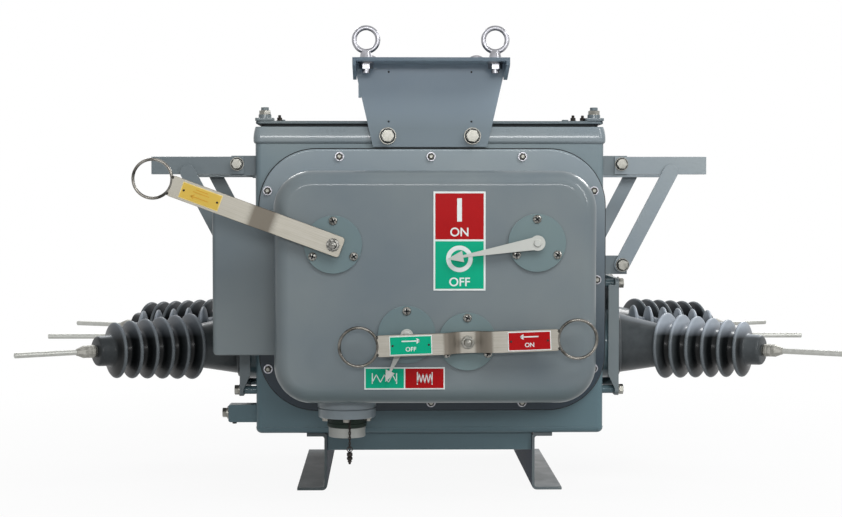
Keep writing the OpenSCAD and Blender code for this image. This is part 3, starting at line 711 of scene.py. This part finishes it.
def drawn_cover():
    """One deep-drawn sheet: bolted flange, soft root, wall and rounded face. A seal lies behind it."""
    margin = (flange.size.x - cover.size.x) / 2
    corner_r = margin / MM + 73
    seal_y = flange.hi.y - 3.5 * MM
    sheet = block("drawn_cover", flange.lo, (flange.hi.x, seal_y, flange.hi.z))
    round_edges(sheet, (edges_along(1), corner_r, 20))
    with editing(sheet):
        pick(sheet, "faces", faces_towards(FORWARDS))
        for step in (4 * MM, margin - 22 * MM, 18 * MM):
            bpy.ops.mesh.inset(thickness=step, depth=0)
        bpy.ops.transform.translate(value=(0, 0, cover.mid.z - flange.mid.z))
        extrude(0, cover.lo.y - flange.lo.y, 0)

    def root(edge):
        return edges_at(1, flange.lo.y)(edge) and all(
            abs(vert.co.x - flange.mid.x) < cover.size.x / 2 + 1 * MM
            and abs(vert.co.z - cover.mid.z) < cover.size.z / 2 + 1 * MM
            for vert in edge.verts
        )

    def rim(edge):
        return edges_at(1, flange.lo.y)(edge) and any(
            abs(face.normal.y) < 0.1 and face.calc_center_median().y > flange.lo.y for face in edge.link_faces
        )

    round_edges(sheet, (edges_at(1, cover.lo.y), 30, 12), (root, 16, 6), (rim, 2.5, 3))
    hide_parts("cover_flange", "mechanism_cover")
    # The cover's paint is painted darker at its foot. The flange's paint is painted lighter at the top and
    # darker at the bottom, where the cover's shadow falls.
    done(sheet, PAINT_COVER, angle=40)
    tinted(sheet, PAINT_FLANGE, lambda face: face.center.y > flange.lo.y - 1 * MM)
    out = 2.4
    edge = Vector((out, 0, out)) * MM
    seal = block("cover_seal", Vector((flange.lo.x, seal_y, flange.lo.z)) - edge,
                 flange.hi + edge - Vector((0, 0.1 * MM, 0)))
    round_edges(seal, (edges_along(1), corner_r + out, 20), (edges_at(1, seal_y), 0.6, 1))
    done(seal, SEAL)


def cover_nuts():
    """Twelve nuts round the flange: three above, three below, one each side and one on each corner."""
    inset = 15 * MM
    corner_r = 115 * MM
    middle = flange.mid.x - 3 * MM
    out, up = polar(corner_r - inset, 18)
    out += flange.size.x / 2 - corner_r
    up += flange.size.z / 2 - corner_r
    places = [(middle + x, z) for z in (flange.lo.z + inset, flange.hi.z - inset) for x in (-0.185, 0, 0.185)]
    for side in (LEFT, RIGHT):
        places.append((middle + side * (flange.size.x / 2 - inset * 0.9), flange.mid.z))
        places += [(middle + side * out, flange.mid.z - up), (middle + side * out, flange.mid.z + up)]
    spots = [standing((x, flange.lo.y, z), FORWARDS, 0.7 * i) for i, (x, z) in enumerate(places)]
    hardware(disc("cover_washers", 9.4, 1.6), ZINC, spots)
    hardware(hexagon("cover_nuts", 13, 5, 1.6), NUT_STEEL, spots)
    hardware(lathe("cover_studs", [(3.9, 1), (3.9, 8.4), (3.1, 9.2), (0.2, 9.2)], 20), BOLT_STEEL, spots)


def plate_screws():
    """Three cross-headed screws round each pivot, with painted shade in their recesses."""
    plate_y = Span("pivot_plates").lo.y
    places = []
    for pivot in PIVOT.values():
        for i in range(3):
            x, z = polar(45 * MM, 90 + 120 * i)
            spin = 0.5 + 0.9 * i + pivot.x * 9
            places.append(standing((pivot.x + x, plate_y, pivot.z + z), FORWARDS, spin))
    hardware(cross_screw("plate_screws", 8.2, 3.8), SCREW_STEEL, places)
    # Dark crossed bars in each recess: painted shade.
    hardware(joined("plate_screw_recess_shade", cross("recess", 8.1, 0.8, 2.1)), SEAL, places)


def plain_nodes():
    """The folded, cut and welded pieces that only have their sharp edges broken."""
    for radius, finish, nodes in (
        (0.6, PAINT_DARK, ("left_necks", "right_necks")),
        (0.8, PAINT, ("left_arms", "left_braces", "arm_lugs")),
        # The right arms and braces wear the lighter copy of the grey: painted light on the side that faces
        # the light.
        (0.8, PAINT_LIGHT, ("right_arms", "right_braces")),
        (0.8, PAINT_PLATE, ("pivot_plates",)),
        (1, PAINT_DARK, ("front_cross_plate", "rear_cross_plate")),
        (1.2, PAINT, ("lid_lugs", "left_bushing_plate", "right_bushing_plate")),
    ):
        for node in nodes:
            softened(node, radius, finish)
    softened("control_box", 2, PAINT, 3)
    for pointer in ("position_pointer", "charge_pointer"):
        softened(pointer, 0.5, POINTER_PAINT, 1, pointer)


# ---- brackets, feet and arms

def lifting_gear():
    """The brackets with their plugs and bolts, and the eye bolts with a washer under each shelf."""
    bracket = Span("front_lifting_bracket")
    plugs = []
    bolts = []
    washers = []
    for x in (-83.5 * MM, 83.5 * MM):
        for drop in (22 * MM, 122 * MM):
            plugs += fore_and_aft(x, bracket.hi.y - 1.5 * MM, bracket.hi.z - drop)
    for side in (LEFT, RIGHT):
        place = (side * 85.6 * MM, bracket.hi.y - 7 * MM, tank.hi.z - 19 * MM)
        bolts += fore_and_aft(*place, 0.4 + side, 0.2 + side)
    shelf_z = bracket.hi.z - 12 * MM
    for end in ("front", "rear"):
        shelf = softened(f"{end}_lifting_bracket", 1.5, PAINT_BLUE)
        # The shelf's top and front edge wear a darker copy of the bracket's paint: painted shade.
        tinted(shelf, PAINT_SHELF, lambda face: face.center.z > shelf_z and face.normal.z > -0.5)
        for _, hand in HANDS:
            node = f"{end}_{hand}_eye_bolt"
            coat(frame["nodes"][node], ZINC)
            eye = Span(node)
            washers.append(Matrix.Translation((eye.mid.x, eye.mid.y, bracket.hi.z - 9.2 * MM)))
    hardware(disc("bracket_plugs", 2.15, 3, sides=16), SEAL, plugs)
    seated_bolts("bracket_bolts", bolts, 23.5, 10, 17.2, 3, 3.5)
    done(repeated(disc("eye_washers", 16, 2.2), washers), ZINC)


def feet():
    # The left foot wears a darker copy of the grey as painted shade, and the inner faces of both webs wear
    # painted shade under the tank.
    for side, node, finish in ((LEFT, "left_foot", PAINT_FOOT), (RIGHT, "right_foot", PAINT)):
        tinted(softened(node, 1, finish), PAINT_SHADE, lambda face: face.normal.x * side < -0.9)


def arm_bolts():
    arm = Span("right_arms")
    brace = Span("right_braces")
    places = []
    for side in (LEFT, RIGHT):
        for out, y, z in ((38, arm.lo.y, arm.mid.z + 3 * MM), (40, brace.lo.y, brace.lo.z + 15.5 * MM)):
            places += fore_and_aft(side * (tank.hi.x + out * MM), y, z, side * z * 7, side * z * 5)
    seated_bolts("arm_bolts", places, 19, 8, 13.8, 2.2, 2.5)


# ---- bushings

def shed_outline(skirt, sunk):
    """Half outline of a bushing: sunk foot, plain skirt, six rounded sheds and the hub."""
    foot_r, end_r, hub_r = 62.5, 42, 30
    slope = (foot_r - end_r) / skirt
    outline = [(0.3, -sunk), (foot_r + sunk * slope, -sunk), (end_r + 7 * slope, skirt - 13)]
    for i in range(SHEDS):
        core = end_r + (hub_r - end_r) * i / (SHEDS - 1)
        rim = 67.6 - 2.3 * i
        middle = skirt + i * SHED_PITCH
        outline += [(core + 1.2, middle - 10.5), (core + 4.5, middle - 8.2), (rim - 5, middle - 4.6)]
        for out, up in (polar(3.6, angle) for angle in (-60, -30, 0, 30, 60)):
            outline.append((rim - 3.6 + out, middle + up))
        outline += [(rim - 5, middle + 4.4), (core + 5, middle + 9.5), (core + 0.6, middle + 13)]
    end = skirt + (SHEDS - 1) * SHED_PITCH + HUB
    return outline + [(hub_r, end - 6), (hub_r - 1.2, end - 2.4), (hub_r - 4.5, end), (0.3, end)]


def bushing_frame(side, phase):
    """Where a bushing's own axis stands: its foot on the plate, +Z out along the bushing."""
    foot = Span("right_middle_bushing")
    place = (bushing_plate.hi.x + PAD * MM, tank.mid.y + phase * BUSHING_PITCH * MM, foot.mid.z)
    turn = Matrix.Rotation(math.radians(SPLAY[phase]), 4, "Z") @ Matrix.Rotation(math.pi / 2, 4, "Y")
    return Matrix.Scale(side, 4, (1, 0, 0)) @ Matrix.Translation(place) @ turn


def bushings():
    face_x = bushing_plate.hi.x + (PAD - 1) * MM
    for side, hand in HANDS:
        for phase, name in PHASES.items():
            node = f"{hand}_{name}"
            place = bushing_frame(side, phase)
            body = lathe(node + "_sheds", shed_outline(SKIRT[phase], 60 if phase else 2), 56)
            placed(body, place)
            with editing(body):
                bpy.ops.mesh.select_all(action="SELECT")
                bpy.ops.mesh.bisect(
                    plane_co=(side * face_x, 0, 0), plane_no=(side, 0, 0), use_fill=True, clear_inner=True
                )
            whole = joined(node + "_bushing_finished", [body, foot_ring(node + "_foot", side, phase)])
            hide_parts(node + "_bushing")
            axis = (place.to_3x3() @ UP).normalized()
            # How much light is painted on the upper sheds, and how much painted shade darkens the sheds, for
            # each bushing: the middle and right front ones catch the light, the rear and left front ones lie
            # in shade.
            shed_top_light = {-1: 0.45 if side == LEFT else 1.5, 0: 1.7, 1: 0.15}[phase]
            shed_shade = {-1: 0.6 if side == LEFT else 0.15, 0: 0.0, 1: 0.75}[phase]
            moulded = silicone(node + "_silicone", place.translation, axis, SKIRT[phase] * MM, shed_top_light, shed_shade)
            done(whole, moulded, angle=50)


def foot_ring(name, side, phase):
    """The round-ended moulded flange at a bushing's foot."""
    foot = Span("right_middle_bushing")
    stretch = 14
    middle = Vector((bushing_plate.hi.x, tank.mid.y + phase * (BUSHING_PITCH + stretch / 2) * MM, foot.mid.z))
    half = Vector((0, 67 + stretch / 2, 67)) * MM
    pad = block(name, middle - half, middle + half + Vector((PAD * MM, 0, 0)))
    round_edges(pad, (edges_along(0), 66.9, 20), (edges_at(0, bushing_plate.hi.x + PAD * MM), 2.2, 3))
    return placed(pad, Matrix.Scale(side, 4, (1, 0, 0)))


def terminals():
    """A crimped clamp and its plain rod on each bushing."""
    def sharp(edge):
        return edge.calc_length() > 4 * MM and edge.calc_face_angle() > 0.5

    rod_outline = [(0.3, 36), (5.45, 36), (5.45, 166.2), (4.6, 167), (0.3, 167)]
    clamp_outline = [
        (0.3, -2), (10.5, -2), (10.5, 1.6), (12.2, 2.4), (13.2, 4), (13.2, 9), (12.5, 10.5), (12.9, 12),
        (12.9, 17), (12.2, 18.5), (12.7, 20), (12.7, 26), (11.8, 28), (8.6, 36), (6.6, 41.5), (0.3, 42),
    ]
    for side, hand in HANDS:
        rods = []
        clamps = []
        for phase in PHASES:
            place = bushing_frame(side, phase)
            start = SKIRT[phase] + (SHEDS - 1) * SHED_PITCH + HUB
            rods.append(placed(lathe("rod", rod_outline, 24, start), place))
            clamp = lathe("clamp", clamp_outline, 9, start)
            round_edges(clamp, (sharp, 0.7, 2))
            clamps.append(placed(clamp, place))
        whole = joined(f"{hand}_rods", rods)
        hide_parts(f"{hand}_terminals")
        done(whole, ROD_METAL)
        done(joined(f"{hand}_clamps", clamps), CRIMP)


def plate_bolts():
    places = []
    for side in (LEFT, RIGHT):
        for z in (bushing_plate.lo.z + 11 * MM, bushing_plate.hi.z - 11 * MM):
            for column in (-1.5, -0.5, 0.5, 1.5):
                y = tank.mid.y + column * (bushing_plate.size.y - 50 * MM) / 3
                places.append(standing((side * bushing_plate.hi.x, y, z), (side, 0, 0), column + z * 9))
    seated_bolts("plate_bolts", places, 18, 7.5, 12.8, 2.2, 2.5)


# ---- signs

# How far print stands proud, and a capital letter's share of its font's size
PRINT = 0.25 * MM
CAPITAL = 0.7


def flat_stroke(start, end, width, y):
    """A printed stroke on the front, from one (x, z) to another, standing just proud of y."""
    run = Vector((end[0] - start[0], 0, end[1] - start[1]))
    half = width * MM / 2
    piece = block("stroke", (0, -PRINT, -half), (run.length, 0, half))
    turn = Matrix.Rotation(-math.atan2(run.z, run.x), 4, "Y")
    return placed(piece, Matrix.Translation((start[0], y, start[1])) @ turn)


def flat_word(word, height, x, z, y):
    """Plain capital letters on the front, centred on x, with their foot at z."""
    bpy.ops.object.text_add()
    letters = bpy.context.object
    activate(letters)
    letters.data.body = word
    letters.data.size = height * MM / CAPITAL
    letters.data.extrude = PRINT / 2
    letters.data.offset = height * MM * 0.02
    letters.data.align_x = "CENTER"
    bpy.ops.object.convert(target="MESH")
    turn = Matrix.Rotation(math.pi / 2, 4, "X")
    return placed(bpy.context.object, Matrix.Translation((x, y - PRINT / 2, z)) @ turn)


def panel(name, lo, hi, material, edge=0.6):
    """A thin plate on the front with its edges broken."""
    piece = block(name, lo, hi)
    round_edges(piece, (edges_at(1, lo[1]), edge, 2))
    return done(piece, material)


def position_sign():
    """Red above green on a white plate, with a bar for closed and a ring for open."""
    sign = Span("position_sign")
    x, y = sign.mid.x, sign.lo.y
    backing = panel("position_plate", sign.lo + Vector((0, 0.2 * MM, 0)), sign.hi, WHITE)
    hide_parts("position_sign")
    border = 3.6 * MM
    middle = sign.mid.z + 1.5 * MM
    for name, low, high, finish in (
        ("closed_field", middle + border / 2, sign.hi.z - border, RED),
        ("open_field", sign.lo.z + border, middle - border / 2, GREEN),
    ):
        panel(name, (sign.lo.x + border, y, low), (sign.hi.x - border, y + 0.6 * MM, high), finish, 0.1)
    bar_top = sign.hi.z - 13 * MM
    bar = flat_stroke((x, bar_top - 44 * MM), (x, bar_top), 9, y)
    word_on = flat_word("ON", 16, x, middle + 8 * MM, y)
    flattened = Matrix.Scale(0.06, 4, UP)
    hoop = placed(ring("hoop", 21, 4.2, 48, 4), standing((x, y, middle - 35 * MM), FORWARDS) @ flattened)
    word_off = flat_word("OFF", 16, x, sign.lo.z + 9 * MM, y)
    done(joined("position_marks", [bar, word_on, hoop, word_off]), WHITE)


def spring_mark(x, z, width, height, turns, y):
    """A zigzag between two end bars, as a spring is drawn."""
    strokes = []
    for end in (x - width / 2, x + width / 2):
        strokes.append(flat_stroke((end, z - height / 2), (end, z + height / 2), 1.8, y))
    step = width / (2 * turns)
    for i in range(2 * turns):
        swing = height * (0.36 if i % 2 else -0.36)
        left = x - width / 2 + i * step
        strokes.append(flat_stroke((left, z + swing), (left + step, z - swing), 1.6, y))
    return strokes


def charge_sign():
    """Green with a slack spring beside red with a wound one."""
    sign = Span("charge_sign")
    softened("charge_sign", 0.4, WHITE).name = "charge_plate"
    border = 2.6 * MM
    y = sign.lo.y - 0.2 * MM
    low, high = sign.lo.z + border, sign.hi.z - border
    for name, left, right, finish in (
        ("slack_field", sign.lo.x + border, sign.mid.x - border / 2, GREEN),
        ("wound_field", sign.mid.x + border / 2, sign.hi.x - border, RED),
    ):
        panel(name, (left, y, low), (right, y + 0.6 * MM, high), finish, 0.1)
    quarter = sign.size.x / 4
    marks = spring_mark(sign.mid.x - quarter, sign.mid.z, 46 * MM, 20 * MM, 3, y)
    marks += spring_mark(sign.mid.x + quarter, sign.mid.z, 28 * MM, 24 * MM, 4, y)
    done(joined("charge_marks", marks), WHITE)


# ---- levers
# X runs along a lever's bar from its pivot, Z up its width, and Y back from the cover's face.

# Thickness of both bars, and how far a label's field stands proud of its bar
BAR = 5
LABEL = 1.15


def acorn_nut(name, body, material):
    """Washer and domed nut on a shaft, standing for the CAD shaft."""
    pivot = PIVOT[body]
    seat = (cover.lo.y - Span(body + "_shaft").lo.y) / MM - 15.5
    barrel = lathe(name, [
        (0.3, 0.4), (7.9, 0.4), (7.9, 6), (11.8, 6), (11.8, 14), (7.9, 14), (7.9, seat), (0.3, seat)
    ], 32)
    dome = [(11, 8)]
    for out, up in (polar(1, angle) for angle in range(15, 105, 15)):
        dome.append((max(0.2, 8.6 * out), 8 + 7.2 * up))
    washer, nut = disc(name, 12.6, 2.4, seat), hexagon(name, 20, 7.4, seat + 2.4)
    whole = joined(name, [barrel, washer, nut, lathe(name, dome, 32, seat)])
    placed(whole, standing((pivot.x, cover.lo.y, pivot.z), FORWARDS, 0.5))
    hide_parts(body + "_shaft")
    fitting(whole, material, body)


def bar_label(name, body, place, centre, length, height, face, material, border):
    """A riveted label, centred at a distance from the pivot: border, field and two rivets."""
    end, up, inset = length / 2, height / 2, 1.6
    plate = slab(name, (centre - end, -face - 1, -up), (centre + end, -face, up))
    round_edges(plate, (edges_at(1, (-face - 1) * MM), 0.3, 1))
    fitting(placed(plate, place), border, body)
    field = slab(name + "_field", (centre - end + inset, -face - LABEL, -up + inset),
                 (centre + end - inset, -face - 0.5, up - inset))
    fitting(placed(field, place), material, body)
    rivet = lathe(name + "_rivets", [(2.2, 0), (1.98, 0.66), (1.1, 1.1), (0.1, 1.1)], 20)
    spots = [Vector((centre + out, -face - 1.1, 0)) * MM for out in (6 - end, end - 6)]
    fitting(repeated(rivet, [place @ standing(spot, FORWARDS) for spot in spots]), DARK_STEEL, body)


def arrow(x, z, way, width, y):
    """A plain arrow along X that points right for 1 and left for -1."""
    tip = (x + way * 17 * MM, z)
    barb_x = tip[0] - way * 6 * MM
    starts = ((x - way * 17 * MM, z), (barb_x, z + 4.2 * MM), (barb_x, z - 4.2 * MM))
    return [flat_stroke(start, tip, width, y) for start in starts]


def bent_bar(name, stations, width):
    """A flat bar along X through (distance, height) stations. It rises towards the front."""
    (start, low), (end, _) = stations[:2]
    bar = slab(name, (start, -low - BAR, -width / 2), (end, -low, width / 2))
    with editing(bar):
        for (x0, h0), (x1, h1) in zip(stations[1:], stations[2:]):
            bpy.ops.mesh.select_all(action="DESELECT")
            pick(bar, "faces", faces_towards(Vector((1, 0, 0)), x0 * MM))
            extrude((x1 - x0) * MM, (h0 - h1) * MM, 0)
    places = [x * MM for x, _ in stations]
    at_end, at_bend = edges_at(0, places[0], places[-1]), edges_at(0, *places[1:-1])
    round_edges(
        bar,
        (lambda edge: at_end(edge) and edges_along(1)(edge), 6, 3),
        (lambda edge: at_bend(edge) and edges_along(2)(edge), 8, 6),
        (lambda edge: edge.is_manifold and edge.calc_face_angle() > 0.9, 0.5, 1),
    )
    return bar


def lever(body, turn, stations, width, material):
    """A bent bar on its pivot, standing for the CAD one. Gives its place back."""
    pivot = PIVOT[body]
    place = Matrix.Translation((pivot.x, cover.lo.y, pivot.z)) @ Matrix.Rotation(-turn, 4, "Y")
    bar = placed(bent_bar(body + "_bar", stations, width), place)
    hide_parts(body)
    fitting(bar, material, body)
    return place


def pull_ring(name, body, place, side, height, bar_end, width):
    """A polished wire ring, held to the end of a bar by two beads of weld."""
    centre = Vector((side * (bar_end + 34), -height, 0)) * MM
    fitting(placed(ring(name, 36.2, 2.9, 64, 12), place @ standing(centre, FORWARDS)), CHROME, body)
    bead = lathe(name + "_welds", [(2.6, -2.6), (3.8, -1), (3.8, 1), (2.4, 2.8), (0.3, 3.2)], 12)
    spots = []
    for up in (-1, 1):
        spot = Vector((side * (bar_end - 1), -height, up * (width / 2 - 4.5))) * MM
        spots.append(place @ standing(spot, (side, 0, 0.4 * up)))
    fitting(repeated(bead, spots), NUT_STEEL, body)


def charging_lever():
    body = "charging_lever"
    width, low, high, bar_end = 40, 14, 32, 323.5
    stations = [(-18, low), (117, low), (166, high), (bar_end, high)]
    place = lever(body, math.pi - LEVER_TURN, stations, width, LEVER_STEEL)
    pull_ring("charging_lever_ring", body, place, RIGHT, high + BAR / 2, bar_end, width)
    middle, face = 262, high + BAR
    bar_label("charge_label", body, place, middle, 78, 31, face, YELLOW, YELLOW_PALE)
    y = (-face - LABEL) * MM
    marks = arrow(middle * MM, 5 * MM, RIGHT, 1.6, y)
    for half, drop in ((16, 4), (12, 9)):
        left, right = (middle - half) * MM, (middle + half) * MM
        marks.append(flat_stroke((left, -drop * MM), (right, -drop * MM), 1.4, y))
    fitting(placed(joined("charge_label_marks", marks), place), YELLOW_DEEP, body)
    acorn_nut("charging_lever_nut", body, SCREW_STEEL)


def trip_handle():
    body = "trip_handle"
    width, low, high, bar_end = 41, 14, 34, 172
    stations = [(-bar_end, high), (-42, high), (-18, low), (18, low), (42, high), (bar_end, high)]
    place = lever(body, HANDLE_TURN, stations, width, HANDLE_STEEL)
    for side, hand in HANDS:
        pull_ring(f"trip_handle_{hand}_ring", body, place, side, high + BAR / 2, bar_end, width)
    face = high + BAR
    y = (-face - LABEL) * MM
    for name, middle, length, finish, word, way in (
        ("off_label", -108, 80, GREEN, "OFF", RIGHT), ("on_label", 115, 81, RED, "ON", LEFT)
    ):
        bar_label(name, body, place, middle, length, 36, face, finish, WHITE)
        marks = [flat_word(word, 8, middle * MM, -11 * MM, y)] + arrow(middle * MM, 8 * MM, way, 2.2, y)
        fitting(placed(joined(name + "_marks", marks), place), WHITE, body)
    acorn_nut("trip_handle_nut", body, BOLT_STEEL)


# ---- plug and earthing boss

def cable_plug():
    """The round plug under the cover: two flanges, a dark throat, a pale ring and a chain with its clip."""
    plug = Span("cable_connector")
    x, y, top = plug.mid.x, plug.mid.y, plug.hi.z
    place = Matrix.Translation((x, y, top)) @ Matrix.Rotation(math.pi, 4, "X")
    flanges = lathe("plug_flanges", [
        (0.3, 0), (57, 0), (57.4, 1), (57.4, 16), (56.4, 17), (53, 17.2), (53, 18.4), (55.6, 18.6),
        (56.4, 19.6), (56.4, 34.8), (55.2, 36), (36, 36), (36, 34), (0.3, 34),
    ], 72)
    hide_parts("cable_connector")
    done(placed(flanges, place), PAINT_LIGHT)
    throat = lathe("plug_throat", [
        (0.3, 33), (40.5, 33), (40.5, 40), (39, 41.4), (37, 42), (37, 47), (38.6, 48), (38.6, 54),
        (37, 56), (0.3, 56),
    ], 64)
    done(placed(throat, place), THROAT)
    pale_ring = lathe("plug_ring", [
        (0.3, 55), (35, 55), (36, 56), (36, 74), (35, 75), (27, 75), (26, 73), (0.3, 73),
    ], 64)
    done(placed(pale_ring, place), PLUG_GREY)
    spots = []
    for i in range(6):
        out, back = polar(47.5 * MM, 30 + 60 * i)
        spots.append(standing((x + out, y + back, top - 36 * MM), -UP, i))
    hardware(bolt("plug_bolts", 11, 5, 8, 1.2), BOLT_STEEL, spots)
    plug_chain(Vector((x + 6 * MM, y - 39.5 * MM, top - 37 * MM)), plug.lo.z)


def plug_chain(start, low):
    """Fine links from a lug under the flange, a split ring and a dark spring clip at the end."""
    clip_top = low + 26 * MM
    pitch = 5.1 * MM
    upright = Matrix.Rotation(math.pi / 2, 4, "Y") @ Matrix.Scale(1.75, 4, (1, 0, 0))
    places = []
    for i in range(int((start.z - clip_top - 4 * MM) / pitch) + 1):
        twist = Matrix.Rotation(math.pi / 2 * (i % 2) + 0.4, 4, "Z")
        places.append(Matrix.Translation(start - UP * pitch * (i + 0.3)) @ twist @ upright)
    links = repeated(ring("link", 2, 0.85, 14, 6), places)
    hang = standing((start.x, start.y, clip_top + 3.5 * MM), FORWARDS)
    hoop = placed(ring("split_ring", 5.2, 0.9, 24, 8), hang)
    fitting(joined("plug_chain", [links, hoop]), DARK_STEEL)
    clip = lathe("plug_chain_clip", [
        (0.3, 0), (2, 0.4), (2.8, 4), (4.4, 5.5), (3.4, 8), (5.4, 9.5), (5.8, 13), (4, 15), (5.6, 17),
        (5.6, 22), (2.4, 24.5), (0.3, 25),
    ], 20)
    fitting(placed(clip, Matrix.Translation((start.x, start.y, low))), DARK_STEEL)


def earthing_boss():
    boss = Span("earthing_boss")
    end = boss.lo.x + 14 * MM
    lug = block("earthing_lug", (end, boss.lo.y, boss.lo.z), (tank.lo.x, boss.hi.y, boss.hi.z))
    round_edges(lug, (edges_at(0, end), 5, 3))
    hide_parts("earthing_boss")
    done(lug, PAINT_DARK)
    head = bolt("earthing_bolt", 18, 7.5, 13, 2.4, 2.6)
    fitting(placed(head, standing((end, boss.mid.y, boss.mid.z), (-1, 0, 0), 0.3)), BOLT_STEEL)
    screw = bolt("earthing_screw", 8, 4, 5, 1)
    fitting(placed(screw, standing((end + 12 * MM, boss.mid.y, boss.lo.z), -UP)), DARK_STEEL)


# ---- studio

def add_floor():
    """A pale floor that keeps a soft shadow near the object and is plain white further off."""
    bpy.ops.mesh.primitive_plane_add(size=60, location=(0, 0, 0))
    floor = named("floor")
    pale = Finish("pale_floor", Roughness=0.9)
    pale.set("Base Color", pale.blend(pale.noise(3, 2), (0.52, 0.52, 0.52, 1), (0.55, 0.55, 0.55, 1)))
    far = Amount(pale, pale.vector_maths("LENGTH", pale.where())["Value"]).between(0.45, 1.9)
    glow = pale.node("ShaderNodeEmission", {}, {"Color": (1, 1, 1, 1), "Strength": 1.0})
    pale.mixed("Material Output", pale.background_share() * (far * 0.07 + 0.93), pale.shader, glow)
    floor.data.materials.append(pale.owner)


def add_sky():
    """Even cool light from all round, seen as white."""
    world = bpy.data.worlds.new("sky")
    bpy.context.scene.world = world
    sky = Shading(world)
    ambient = sky.tree.nodes["Background"]
    ambient.inputs["Color"].default_value = (0.88, 0.94, 1.0, 1)
    ambient.inputs["Strength"].default_value = 0.2
    white = sky.node("ShaderNodeBackground", {}, {"Color": (1, 1, 1, 1)})
    sky.mixed("World Output", sky.background_share(), ambient, white)


def lamp(name, place, aim, size, power, gleams=True):
    """A rectangular lamp. One that doesn't gleam lights the paint and leaves no streak in it."""
    bpy.ops.object.light_add(type="AREA", location=place)
    light = bpy.context.object
    light.name = name
    light.data.shape = "RECTANGLE"
    light.data.size, light.data.size_y = size
    light.data.energy = power
    light.visible_glossy = gleams
    light.rotation_euler = (Vector(aim) - Vector(place)).to_track_quat("-Z", "Y").to_euler()


def studio():
    """A pale floor under a white sky, a soft lamp overhead, and strips in front, at the right and behind."""
    add_floor()
    add_sky()
    lamp("overhead", (0.7, -2.1, 2.7), (0, -0.2, 0.5), (2.2, 1.4), 66, gleams=False)
    lamp("front_left", (-2.6, -3.6, 1.9), (-0.1, 0, 0.5), (1.2, 1.2), 16, gleams=False)
    lamp("front_strip", (0.15, -4.8, 1.45), (0, -0.4, 0.6), (2.4, 0.42), 56)
    lamp("right_strip", (2.0, -1.9, 1.7), (0.3, -0.4, 0.6), (0.3, 1.5), 22)
    lamp("behind_right", (1.9, 1.9, 2.1), (0.2, -0.2, 0.6), (0.9, 0.6), 42)
    lamp("behind_left", (-1.2, 2.4, 2.4), (-0.1, -0.2, 0.6), (0.9, 0.6), 22)


add_camera()
finish_tank()
finish_lid()
drawn_cover()
cover_nuts()
plate_screws()
plain_nodes()
lifting_gear()
feet()
arm_bolts()
plate_bolts()
bushings()
terminals()
position_sign()
charge_sign()
charging_lever()
trip_handle()
cable_plug()
earthing_boss()
studio()
bpy.context.scene.view_settings.view_transform = "Standard"
